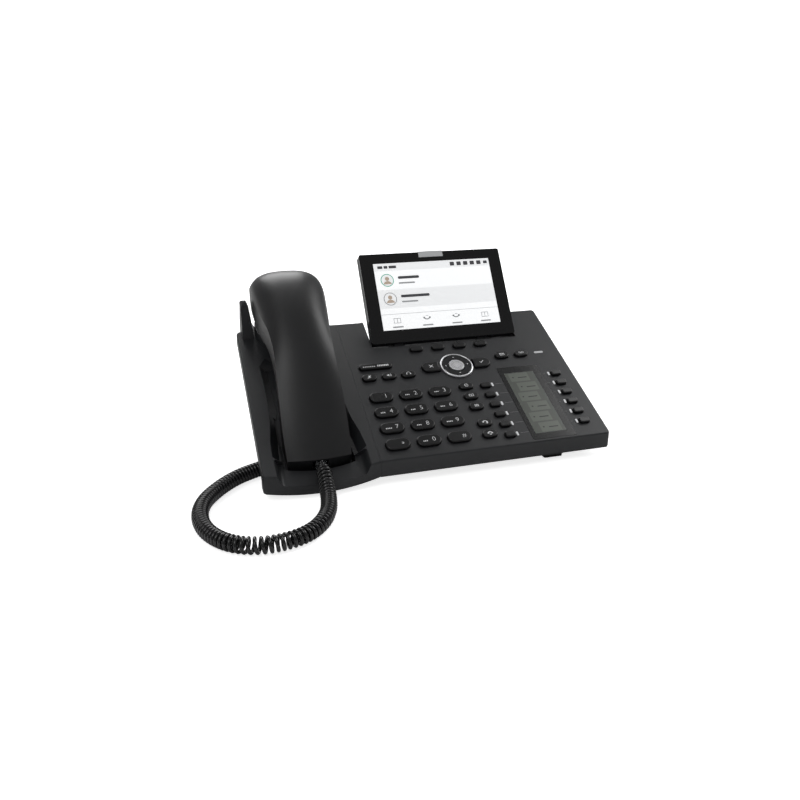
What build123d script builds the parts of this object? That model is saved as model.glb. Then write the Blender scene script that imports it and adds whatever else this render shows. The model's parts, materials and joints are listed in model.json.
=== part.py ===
from build123d import *
import math
import os

# Desk telephone with a sloping body, a handset on the left and a tilting display.
# Body coordinates: u to the right, v up the slope, w square to the sloping top,
# all from the front left corner of the top. World: +Z up, desk at Z = 0.

os.makedirs("parts", exist_ok=True)

# ---- driving dimensions (mm) ----
WIDTH = 241.0
DEPTH = 141.0
TILT = 24.2
FRONT_RISE = 17.0          # height of the top's front edge over the desk
FRONT_TO_ORIGIN = 73.37    # front edge to the origin, along Y
WALL = 2.0
SKIRT = 9.6                # depth of the visible sides, square to the top
GAP = 0.3                  # air between pieces of different bodies
SEAM_U = 74.9              # joint between the cradle and the main cover
BODY_CORNER = 3.0
EDGE_ROUND = 1.4

BOARD_TOP = -6.0
BOARD_THICK = 1.6
MAT_TOP = -5.4

KEY_HEIGHT = 2.0
KEY_TRAVEL = 1.2
KEY_CLEAR = 0.35
FLANGE_TOP = -2.4
FLANGE_THICK = 0.8
FLANGE_EXTRA = 0.7
PLUNGER_END = -3.9

BELLY_LEFT = 70.0
BELLY_RIGHT = 229.0
BELLY_REAR = 109.0
BELLY_DEPTH = 24.0
BELLY_RAMP = 30.0          # v where the belly reaches its full depth

DISPLAY_LEFT = 96.6
DISPLAY_WIDTH = 115.4
DISPLAY_HEIGHT = 71.8
DISPLAY_THICK = 9.0
DISPLAY_FOOT_V = 111.3     # lower front edge of the display at rest
DISPLAY_FOOT_W = 2.0
DISPLAY_RISE = 32.2        # display over the body's slope at rest
GLASS_THICK = 1.2
LCD_LEFT = 10.2
LCD_BOTTOM = 9.9
LCD_WIDTH = 95.04
LCD_HEIGHT = 53.86
HINGE_V = 112.4
HINGE_W = -5.0
HINGE_PIN_R = 1.25
HINGE_FIT = 0.05
EAR_R = 2.3
KNUCKLE_R = 2.6
NOTCH_CLEAR = 0.4
NOTCH_FRONT = 109.2
NOTCH_THROUGH = 127.0      # behind this line the notch is open below
NOTCH_FLOOR = -8.3

WINDOW = (182.7, 215.9, 1.75, 75.1)       # left, right, front, rear
LABEL_LCD = (186.0, 210.4, 7.0, 69.0)
WINDOW_THICK = 1.2

NAV_CENTRE = (153.3, 81.4)
NAV_TRIM_R = 12.3
NAV_RING_R = 11.0
NAV_HOLE_R = 6.1
NAV_BUTTON_R = 5.75

HANDSET_U = 37.5
HANDSET_WALL = 2.2
EAR_CUP_V = 136.0
EAR_CUP_R = 19.5
EAR_CUP_END = 5.0
HEAD_UNDER = 16.0
MIC_UNDER = -13.4
SOCKET_WIDTH = 10.0

CORD_D = 10.3

sine = math.sin(math.radians(TILT))
cosine = math.cos(math.radians(TILT))
SLOPE = (0, cosine, sine)
NORMAL = (0, -sine, cosine)
TOP = Plane(origin=(-WIDTH / 2, -FRONT_TO_ORIGIN, FRONT_RISE), x_dir=(1, 0, 0), z_dir=NORMAL)


def world(u, v, w):
    """World point of a place given in body coordinates."""
    return TOP.from_local_coords(Vector(u, v, w))


def side(u):
    """Plane across the body at u, drawn in (v, w), facing right."""
    return Plane(origin=world(u, 0, 0), x_dir=SLOPE, z_dir=(1, 0, 0))


def section(v):
    """Plane square to the slope at v, drawn in (u, w), facing the front."""
    return Plane(origin=world(0, v, 0), x_dir=(1, 0, 0), z_dir=(0, -cosine, -sine))


def front_v(back, w):
    """v of a vertical plane set back from the front edge, at depth w."""
    return (back + w * sine) / cosine


def save(builder, name):
    """Label one piece and write it."""
    builder.part.label = name
    export_step(builder.part, f"parts/{name}.step")


def slab_outline(back, rear, w_top, w_bottom):
    """Side outline of a layer whose front face is vertical."""
    return [
        (front_v(back, w_top), w_top),
        (rear, w_top),
        (rear, w_bottom),
        (front_v(back, w_bottom), w_bottom),
    ]


# ---- keys: name, u, v, length, width ----
PAD_LENGTH, PAD_WIDTH = 16.6, 9.0
SMALL_LENGTH, SMALL_WIDTH = 10.4, 6.0
LINE_LENGTH, LINE_WIDTH = 7.6, 4.8
DIAL_NAMES = ("1", "2", "3", "4", "5", "6", "7", "8", "9", "star", "0", "hash")

pill_keys = []
for index, digit in enumerate(DIAL_NAMES):
    column = index % 3
    row = index // 3
    place = (89.3 + 21.45 * column, 56.4 - 14.78 * row)
    pill_keys.append((f"dial_key_{digit}", *place, PAD_LENGTH, PAD_WIDTH))
for index in range(4):
    pill_keys.append((f"soft_key_{index + 1}", 128.6 + 17.13 * index, 103.6, 10.0, 5.4))
for index, name in enumerate(("mute_key", "speaker_key", "headset_key")):
    pill_keys.append((name, 85.8 + 14.5 * index, 76.9, SMALL_LENGTH, SMALL_WIDTH))
for index, name in enumerate(("do_not_disturb_key", "directory_key", "menu_key")):
    pill_keys.append((name, 153.0 + 0.3 * index, 58.9 - 10.45 * index, SMALL_LENGTH, SMALL_WIDTH))
for index, name in enumerate(("transfer_key", "hold_key")):
    pill_keys.append((name, 153.9, 21.8 - 10.5 * index, SMALL_LENGTH, SMALL_WIDTH))
for index, name in enumerate(("message_key", "voicemail_key")):
    pill_keys.append((name, 192.0 + 15.9 * index, 88.0, 10.8, SMALL_WIDTH))

line_keys = []
for index in range(6):
    line_keys.append((f"line_key_{index + 1}", 168.0, 58.1 - 9.85 * index))
for index in range(6):
    line_keys.append((f"line_key_{index + 7}", 226.4, 63.4 - 9.95 * index))

ROCKER = (93.1, 88.2, 24.4, 5.2)
SIDE_KEY_LENGTH, SIDE_KEY_WIDTH = 16.0, 9.4
SIDE_KEY_OFFSET = 18.6     # centre of the side keys' slot from the navigation ring
SIDE_KEY_HUG_R = 13.9      # their inner side follows this circle


# ---- main body ----
notch_left = DISPLAY_LEFT - NOTCH_CLEAR
notch_right = DISPLAY_LEFT + DISPLAY_WIDTH + NOTCH_CLEAR
notch_mid = (notch_left + notch_right) / 2
notch_wide = notch_right - notch_left
EAR_THICK = 4.0
EAR_PLACES = (110.0, 190.0)     # u of each bearing ear's left side


def key_openings():
    """Key holes of the main cover, in body coordinates."""
    for _, u, v, length, width in pill_keys:
        with Locations((u, v)):
            SlotOverall(length + 2 * KEY_CLEAR, width + 2 * KEY_CLEAR)
    for _, u, v in line_keys:
        with Locations((u, v)):
            RectangleRounded(LINE_LENGTH + 2 * KEY_CLEAR, LINE_WIDTH + 2 * KEY_CLEAR, 1.9)
    with Locations((ROCKER[0], ROCKER[1])):
        SlotOverall(ROCKER[2] + 2 * KEY_CLEAR, ROCKER[3] + 2 * KEY_CLEAR)
    with Locations(NAV_CENTRE):
        Circle(NAV_RING_R + KEY_CLEAR)


def side_key_shape(sign, grow):
    """Outline of the cancel (-1) or confirm (+1) key, grown by the given amount."""
    with Locations((NAV_CENTRE[0] + sign * SIDE_KEY_OFFSET, NAV_CENTRE[1] + 0.6)):
        SlotOverall(SIDE_KEY_LENGTH + 2 * grow, SIDE_KEY_WIDTH + 2 * grow)
    with Locations(NAV_CENTRE):
        Circle(SIDE_KEY_HUG_R - grow, mode=Mode.SUBTRACT)


with BuildPart() as top_cover:
    with BuildSketch(side(SEAM_U + 0.1)):
        with BuildLine():
            Polyline(*slab_outline(0, DEPTH, 0, -SKIRT), close=True)
        make_face()
    extrude(amount=WIDTH - SEAM_U - 0.1)
    corners = top_cover.edges().filter_by(Axis.Z).sort_by(Axis.X)[-1:]
    corners += top_cover.edges().filter_by(Axis(TOP.origin, TOP.z_dir)).sort_by(Axis.X)[-1:]
    fillet(corners, BODY_CORNER)
    top_face = top_cover.faces().sort_by(Axis(TOP.origin, TOP.z_dir))[-1]
    rim = [edge for edge in top_face.edges() if edge.center().X > top_face.bounding_box().min.X + 0.1]
    fillet(rim, EDGE_ROUND)
    with BuildSketch(side(SEAM_U + 0.1 + WALL)):
        with BuildLine():
            Polyline(*slab_outline(WALL, DEPTH - WALL, -WALL, -SKIRT - 1), close=True)
        make_face()
    extrude(amount=WIDTH - SEAM_U - 0.1 - 2 * WALL, mode=Mode.SUBTRACT)
    # tub around the display's hinge
    with BuildSketch(TOP.offset(-SKIRT)):
        with Locations((notch_mid, (NOTCH_FRONT + NOTCH_THROUGH) / 2)):
            Rectangle(notch_wide + 2 * WALL, NOTCH_THROUGH - NOTCH_FRONT + 2 * WALL)
    extrude(amount=SKIRT - 0.2)
    with BuildSketch(TOP.offset(-SKIRT)):
        with Locations((notch_mid, (NOTCH_THROUGH + DEPTH) / 2)):
            Rectangle(notch_wide + 2 * WALL, DEPTH - NOTCH_THROUGH - 0.5)
    extrude(amount=SKIRT - 0.2)
    with BuildSketch(TOP.offset(NOTCH_FLOOR)):
        with Locations((notch_mid, NOTCH_FRONT)):
            Rectangle(notch_wide, 60, align=(Align.CENTER, Align.MIN))
    extrude(amount=20, mode=Mode.SUBTRACT)
    with BuildSketch(TOP.offset(-SKIRT - 1)):
        with Locations((notch_mid, NOTCH_THROUGH)):
            Rectangle(notch_wide, 60, align=(Align.CENTER, Align.MIN))
    extrude(amount=20, mode=Mode.SUBTRACT)
    # bearing ears for the display's hinge pins
    for ear_u in EAR_PLACES:
        with BuildSketch(side(ear_u)):
            with Locations((HINGE_V, HINGE_W)):
                Circle(EAR_R)
            with Locations((HINGE_V, HINGE_W)):
                Rectangle(2 * EAR_R, HINGE_W - NOTCH_FLOOR + 0.5, align=(Align.CENTER, Align.MAX))
        extrude(amount=EAR_THICK)
    with BuildSketch(side(EAR_PLACES[0] - 1)):
        with Locations((HINGE_V, HINGE_W)):
            Circle(HINGE_PIN_R + HINGE_FIT)
    extrude(amount=EAR_PLACES[1] - EAR_PLACES[0] + EAR_THICK + 2, mode=Mode.SUBTRACT)
    # key openings
    with BuildSketch(TOP.offset(-WALL - 1)):
        key_openings()
    extrude(amount=WALL + 2, mode=Mode.SUBTRACT)
    for sign in (-1, 1):
        with BuildSketch(TOP.offset(-WALL - 1)):
            side_key_shape(sign, KEY_CLEAR)
        extrude(amount=WALL + 2, mode=Mode.SUBTRACT)
    # seat and opening of the label window
    with BuildSketch(TOP.offset(-WINDOW_THICK - 0.05)):
        with Locations(((WINDOW[0] + WINDOW[1]) / 2, (WINDOW[2] + WINDOW[3]) / 2)):
            RectangleRounded(WINDOW[1] - WINDOW[0], WINDOW[3] - WINDOW[2], 1.2)
    extrude(amount=3, mode=Mode.SUBTRACT)
    with BuildSketch(TOP.offset(-WALL - 1)):
        with Locations(((LABEL_LCD[0] + LABEL_LCD[1]) / 2, (LABEL_LCD[2] + LABEL_LCD[3]) / 2)):
            Rectangle(LABEL_LCD[1] - LABEL_LCD[0], LABEL_LCD[3] - LABEL_LCD[2])
    extrude(amount=3, mode=Mode.SUBTRACT)
save(top_cover, "top_cover")


# ---- label window beside the line keys ----
window_mid = ((WINDOW[0] + WINDOW[1]) / 2, (WINDOW[2] + WINDOW[3]) / 2)
lcd_mid = ((LABEL_LCD[0] + LABEL_LCD[1]) / 2, (LABEL_LCD[2] + LABEL_LCD[3]) / 2)

with BuildPart() as label_window:
    with BuildSketch(TOP.offset(-WINDOW_THICK)):
        with Locations(window_mid):
            RectangleRounded(WINDOW[1] - WINDOW[0] - 0.3, WINDOW[3] - WINDOW[2] - 0.3, 1.05)
    extrude(amount=WINDOW_THICK + 0.1)
save(label_window, "label_window")

with BuildPart() as label_lcd:
    with BuildSketch(TOP.offset(-4.6)):
        with Locations(lcd_mid):
            Rectangle(LABEL_LCD[1] - LABEL_LCD[0] + 3, LABEL_LCD[3] - LABEL_LCD[2] + 3)
    extrude(amount=2.4)
save(label_lcd, "label_lcd")


# ---- keys ----
def sliding_key(name, outline, flange):
    """Key cap, hidden flange and plunger, from two outline functions."""
    with BuildPart() as key:
        with BuildSketch(TOP.offset(FLANGE_TOP - 0.1)):
            outline()
        extrude(amount=KEY_HEIGHT - FLANGE_TOP + 0.1)
        top = key.faces().sort_by(Axis(TOP.origin, TOP.z_dir))[-1]
        fillet(top.edges(), 0.7)
        with BuildSketch(TOP.offset(FLANGE_TOP - FLANGE_THICK)):
            flange()
        extrude(amount=FLANGE_THICK)
        lowest = key.faces().sort_by(Axis(TOP.origin, TOP.z_dir))[0]
        middle = TOP.to_local_coords(lowest.center())
        with BuildSketch(TOP.offset(PLUNGER_END)):
            with Locations((middle.X, middle.Y)):
                Circle(1.5)
        extrude(amount=FLANGE_TOP - PLUNGER_END)
    save(key, name)


for name, u, v, length, width in pill_keys:

    def outline():
        with Locations((u, v)):
            SlotOverall(length, width)

    def flange():
        with Locations((u, v)):
            SlotOverall(length + 2 * FLANGE_EXTRA, width + 2 * FLANGE_EXTRA)

    sliding_key(name, outline, flange)

for name, u, v in line_keys:

    def outline():
        with Locations((u, v)):
            RectangleRounded(LINE_LENGTH, LINE_WIDTH, 1.6)

    def flange():
        with Locations((u, v)):
            RectangleRounded(LINE_LENGTH + 2 * FLANGE_EXTRA, LINE_WIDTH + 2 * FLANGE_EXTRA, 2.2)

    sliding_key(name, outline, flange)

for name, sign in (("cancel_key", -1), ("confirm_key", 1)):

    def outline():
        side_key_shape(sign, 0)

    def flange():
        side_key_shape(sign, FLANGE_EXTRA)

    sliding_key(name, outline, flange)

with BuildPart() as volume_rocker:
    with BuildSketch(TOP.offset(FLANGE_TOP - 0.1)):
        with Locations((ROCKER[0], ROCKER[1])):
            SlotOverall(ROCKER[2], ROCKER[3])
    extrude(amount=KEY_HEIGHT - FLANGE_TOP + 0.1)
    top = volume_rocker.faces().sort_by(Axis(TOP.origin, TOP.z_dir))[-1]
    fillet(top.edges(), 0.7)
    with BuildSketch(TOP.offset(FLANGE_TOP - 1.0)):
        with Locations((ROCKER[0], ROCKER[1])):
            SlotOverall(ROCKER[2] - 6, ROCKER[3] + 2 * FLANGE_EXTRA)
    extrude(amount=0.6)
    with BuildSketch(TOP.offset(PLUNGER_END - 0.6)):
        with Locations((ROCKER[0], ROCKER[1])):
            Rectangle(1.6, 4)
    extrude(amount=2.4)
save(volume_rocker, "volume_rocker")

with BuildPart() as nav_ring:
    with BuildSketch(TOP.offset(FLANGE_TOP - 0.4)):
        with Locations(NAV_CENTRE):
            Circle(NAV_RING_R)
            Circle(NAV_HOLE_R, mode=Mode.SUBTRACT)
    extrude(amount=1.6 - FLANGE_TOP + 0.4)
    top = nav_ring.faces().sort_by(Axis(TOP.origin, TOP.z_dir))[-1]
    chamfer(top.edges(), 0.4)
    with BuildSketch(TOP.offset(FLANGE_TOP - 1.3)):
        with Locations(NAV_CENTRE):
            Circle(NAV_RING_R - 0.5)
            Circle(NAV_HOLE_R + 1, mode=Mode.SUBTRACT)
    extrude(amount=1.0)
save(nav_ring, "nav_ring")

with BuildPart() as nav_button:
    with BuildSketch(TOP.offset(FLANGE_TOP - 0.4)):
        with Locations(NAV_CENTRE):
            Circle(NAV_BUTTON_R)
    extrude(amount=1.7 - FLANGE_TOP + 0.4)
    top = nav_button.faces().sort_by(Axis(TOP.origin, TOP.z_dir))[-1]
    fillet(top.edges(), 0.35)
    with BuildSketch(TOP.offset(PLUNGER_END)):
        with Locations(NAV_CENTRE):
            Circle(2.5)
    extrude(amount=1.5)
save(nav_button, "nav_button")


# ---- circuit board, with its sockets and loudspeaker ----
JACK_SIZE = (15.6, 21.0, 13.6)            # network socket: across, along, high
BOARD_SCREWS = ((84, 34), (84, 101.5), (222, 34), (222, 101.5))
JACK_TOP = BOARD_TOP - BOARD_THICK - 0.05
JACK_PLACES = (165.0, 184.0)
JACK_PORT = (11.8, 8.0)
JACK_PORT_W = JACK_TOP - 7.2
POWER_PLACE = 209.0
POWER_W = JACK_TOP - 5.6
POWER_BORE_R = 2.75
POWER_BORE_DEPTH = 10.0
HEADSET_PLACE = 146.0
SMALL_PORT = (7.8, 6.2)
HANDSET_JACK_U = BELLY_LEFT + 2.3
HANDSET_JACK_V = 55.0
HANDSET_JACK_W = -17.0
SPEAKER_PLACE = (118.0, 66.0)
SPEAKER_R = 20.0
jack_rear = BELLY_REAR - WALL - 0.2

with BuildPart() as circuit_board:
    with BuildSketch(TOP.offset(BOARD_TOP - BOARD_THICK)):
        with Locations((80, 7)):
            Rectangle(155, 99, align=Align.MIN)
        with Locations(*BOARD_SCREWS):
            Circle(1.7, mode=Mode.SUBTRACT)
    extrude(amount=BOARD_THICK)
    # network sockets, opening to the rear
    for u in JACK_PLACES:
        with BuildSketch(TOP.offset(JACK_TOP - JACK_SIZE[2])):
            with Locations((u, jack_rear - JACK_SIZE[1])):
                Rectangle(JACK_SIZE[0], JACK_SIZE[1], align=(Align.CENTER, Align.MIN))
        extrude(amount=JACK_SIZE[2])
        with BuildSketch(section(jack_rear)):
            with Locations((u, JACK_PORT_W)):
                Rectangle(*JACK_PORT)
        extrude(amount=15, mode=Mode.SUBTRACT)
    # headset socket and power socket beside them
    with BuildSketch(TOP.offset(JACK_TOP - 11)):
        with Locations((HEADSET_PLACE, jack_rear - 16)):
            Rectangle(11.5, 16, align=(Align.CENTER, Align.MIN))
        with Locations((POWER_PLACE, jack_rear - 14)):
            Rectangle(9.5, 14, align=(Align.CENTER, Align.MIN))
    extrude(amount=11)
    with BuildSketch(section(jack_rear)):
        with Locations((HEADSET_PLACE, POWER_W)):
            Rectangle(*SMALL_PORT)
        with Locations((POWER_PLACE, POWER_W)):
            Circle(POWER_BORE_R)
    extrude(amount=POWER_BORE_DEPTH, mode=Mode.SUBTRACT)
    # handset socket, opening to the left
    with BuildSketch(side(HANDSET_JACK_U)):
        with Locations((HANDSET_JACK_V, HANDSET_JACK_W)):
            Rectangle(12, 9.5)
    extrude(amount=16)
    with BuildSketch(side(HANDSET_JACK_U)):
        with Locations((HANDSET_JACK_V, HANDSET_JACK_W)):
            Rectangle(*SMALL_PORT)
    extrude(amount=12, mode=Mode.SUBTRACT)
    # loudspeaker
    with BuildSketch(TOP.offset(2 - BELLY_DEPTH + 0.3)):
        with Locations(SPEAKER_PLACE):
            Circle(SPEAKER_R)
    extrude(amount=11)
save(circuit_board, "circuit_board")


# ---- base shell ----
POST_PLACES = ((7.0, 12.5, 9.0), (202.0, 9.0, 14.0))       # u, v and width of the front posts
PAD_THICK = 2.0
LIP_BLOCK = 9.0                                 # depth of the cradle's solid front
PLATE_TOP = -SKIRT - 0.1
PLATE_BOTTOM = -11.0
TUB = (12.4, 62.6, 1.2, 54.0)                   # outside of the cradle's deep end
TUB_BOTTOM = -15.7
TUB_SLOPE = 17.0                                # length of the deep end's rising floor

with BuildPart() as base_shell:
    # front foot posts, trimmed below to the pads' height and above by the plate
    for u, v, wide in POST_PLACES:
        foot = world(u, v, PLATE_TOP)
        with BuildSketch(Plane.XY.offset(PAD_THICK)):
            with Locations((foot.X, foot.Y)):
                RectangleRounded(wide + 1, 10, 1.5)
        extrude(amount=14)
    with BuildSketch(TOP.offset(PLATE_BOTTOM + 0.5)):
        with Locations((WIDTH / 2, DEPTH / 2)):
            Rectangle(2 * WIDTH, 2 * DEPTH)
    extrude(amount=40, mode=Mode.SUBTRACT)
    with BuildSketch(side(1.2)):
        with BuildLine():
            Polyline(*slab_outline(1.2, DEPTH - 1.2, PLATE_TOP, PLATE_BOTTOM), close=True)
        make_face()
    extrude(amount=WIDTH - 2.4)
    # belly
    with BuildSketch(side(BELLY_LEFT)):
        with BuildLine():
            Polyline(
                (6, PLATE_TOP - 0.3),
                (BELLY_RAMP, -BELLY_DEPTH),
                (BELLY_REAR, -BELLY_DEPTH),
                (BELLY_REAR, PLATE_TOP - 0.3),
                close=True,
            )
        make_face()
    extrude(amount=BELLY_RIGHT - BELLY_LEFT)
    with BuildSketch(side(BELLY_LEFT + WALL)):
        with BuildLine():
            Polyline(
                (8.5, PLATE_TOP + 1),
                (8.5, PLATE_TOP - 1),
                (BELLY_RAMP + 0.7, WALL - BELLY_DEPTH),
                (BELLY_REAR - WALL, WALL - BELLY_DEPTH),
                (BELLY_REAR - WALL, PLATE_TOP + 1),
                close=True,
            )
        make_face()
    extrude(amount=BELLY_RIGHT - BELLY_LEFT - 2 * WALL, mode=Mode.SUBTRACT)
    # openings: display notch, the cradle's deep end, the seat of the earpiece
    with BuildSketch(TOP.offset(PLATE_BOTTOM - 1)):
        with Locations((notch_mid, NOTCH_THROUGH - WALL)):
            Rectangle(notch_wide + 4, 60, align=(Align.CENTER, Align.MIN))
        with Locations(((TUB[0] + TUB[1]) / 2, (TUB[2] + TUB[3]) / 2)):
            Rectangle(TUB[1] - TUB[0] + 0.6, TUB[3] - TUB[2] + 0.6)
        with Locations((-5, -5)):
            Rectangle(SEAM_U + 5.2, 5 + front_v(LIP_BLOCK + 0.2, PLATE_TOP), align=Align.MIN)
    extrude(amount=4, mode=Mode.SUBTRACT)
    # sockets in the rear and left walls
    with BuildSketch(section(BELLY_REAR + 1)):
        for u in JACK_PLACES:
            with Locations((u, JACK_PORT_W)):
                Rectangle(JACK_PORT[0] + 1.2, JACK_PORT[1] + 1.2)
        with Locations((HEADSET_PLACE, POWER_W)):
            Rectangle(SMALL_PORT[0] + 1.2, SMALL_PORT[1] + 1.2)
        with Locations((POWER_PLACE, POWER_W)):
            Circle(POWER_BORE_R + 1.2)
    extrude(amount=WALL + 2, mode=Mode.SUBTRACT)
    with BuildSketch(side(BELLY_LEFT - 1)):
        with Locations((HANDSET_JACK_V, HANDSET_JACK_W)):
            Rectangle(SMALL_PORT[0] + 1.2, SMALL_PORT[1] + 1.2)
    extrude(amount=WALL + 2, mode=Mode.SUBTRACT)
    # loudspeaker slots
    with BuildSketch(TOP.offset(-BELLY_DEPTH - 1)):
        with Locations(SPEAKER_PLACE):
            with GridLocations(4.2, 1, 8, 1):
                SlotOverall(26, 1.8, rotation=90)
    extrude(amount=WALL + 2, mode=Mode.SUBTRACT)
    # bosses that carry the circuit board
    with BuildSketch(TOP.offset(WALL - BELLY_DEPTH - 0.1)):
        with Locations(*BOARD_SCREWS):
            Circle(3.2)
    extrude(amount=BOARD_TOP - BOARD_THICK - 0.05 - WALL + BELLY_DEPTH + 0.1)
save(base_shell, "base_shell")


# ---- cradle ----
MIC_POCKET = (14.2, 60.8, 3.0, 52.5)            # left, right, front and rear
MIC_FRONT_CORNER_V = 8.4                        # its front wall, bowed round the handset's end
MIC_FRONT_MIDDLE_V = 4.8
POCKET_FLOOR = -13.9
LIP_BULGE = 3.6
LIP_TOP = -6.0
SOLID_FRONT = 62.0                              # the cradle is solid up to here
SEAT_R = 24.5
SEAT_TOP = 7.5
SEAT_FLOOR = 4.6
HOOK_PLACE = (HANDSET_U, 123.0)
HOOK_R = 3.0
HORN_V = (128.0, 151.0)
DISH_FLOOR = -6.5
DISH_WALL = 5.0                                 # width of the dish's sloping side
DISH_FRONT = 9.0
DISH_REAR = 108.5
# edge of the dish along the handset, as (v, left u, right u)
DISH_SIDES = (
    (15.0, 8.0, 69.0),
    (28.0, 8.6, 67.6),
    (42.0, 10.6, 64.6),
    (60.0, 12.0, 63.0),
    (80.0, 12.0, 63.0),
    (100.0, 11.4, 63.6),
)
DISH_CORNER = 5.0

front_y = -FRONT_TO_ORIGIN
left_x = -WIDTH / 2


def dish_edge(inset):
    """Points round the dish's edge, moved inwards by inset."""
    left = [(low + inset, v) for v, low, high in DISH_SIDES]
    right = [(high - inset, v) for v, low, high in DISH_SIDES]
    front = DISH_FRONT + 0.4 * inset
    rear = DISH_REAR - inset
    corner = DISH_CORNER + inset
    return (
        [(left[0][0] + corner, front), (HANDSET_U, front), (right[0][0] - corner, front)]
        + right
        + [(right[-1][0] - corner, rear), (HANDSET_U, rear), (left[-1][0] + corner, rear)]
        + left[::-1]
    )


with BuildPart() as dish:
    for height, inset in ((0.6, -0.4), (DISH_FLOOR, DISH_WALL)):
        with BuildSketch(TOP.offset(height)):
            with BuildLine():
                Polyline(*dish_edge(inset), close=True)
            make_face()
    loft(ruled=True)

with BuildPart() as mic_pocket:
    with BuildSketch(side(MIC_POCKET[0])):
        with BuildLine():
            Polyline(
                (MIC_POCKET[2], POCKET_FLOOR),
                (MIC_POCKET[3] - TUB_SLOPE, POCKET_FLOOR),
                (MIC_POCKET[3], DISH_FLOOR),
                (MIC_POCKET[3], 3),
                (MIC_POCKET[2], 3),
                close=True,
            )
        make_face()
    extrude(amount=MIC_POCKET[1] - MIC_POCKET[0])
    with BuildSketch(TOP.offset(POCKET_FLOOR - 1)):
        with BuildLine():
            ThreePointArc(
                (MIC_POCKET[0], MIC_FRONT_CORNER_V),
                (HANDSET_U, MIC_FRONT_MIDDLE_V),
                (MIC_POCKET[1], MIC_FRONT_CORNER_V),
            )
            Polyline(
                (MIC_POCKET[1], MIC_FRONT_CORNER_V),
                (MIC_POCKET[1], MIC_POCKET[3]),
                (MIC_POCKET[0], MIC_POCKET[3]),
                (MIC_POCKET[0], MIC_FRONT_CORNER_V),
            )
        make_face()
    extrude(amount=30, mode=Mode.INTERSECT)

with BuildPart() as horn:
    # leaf that rises beside the handset's head, seen from the side and from the front
    with BuildSketch(side(0)):
        with BuildLine():
            Polyline((HORN_V[0], -SKIRT), (150, -SKIRT), (HORN_V[1], 4), (147.5, 22))
            ThreePointArc((147.5, 22), (143.8, 25), (139.8, 22.5))
            Polyline((139.8, 22.5), (131, 0), (HORN_V[0], -2), (HORN_V[0], -SKIRT))
        make_face()
    extrude(amount=20)
    with BuildSketch(section(0)):
        with BuildLine():
            Polyline((16.0, -6.0), (16.0, -SKIRT), (3.8, -SKIRT), (3.8, 20.0))
            Spline((3.8, 20.0), (4.6, 23.6), (6.4, 25.2), (8.4, 22.4), (10.6, 14.0), (16.0, -6.0))
        make_face()
    extrude(amount=-160, mode=Mode.INTERSECT)

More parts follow.
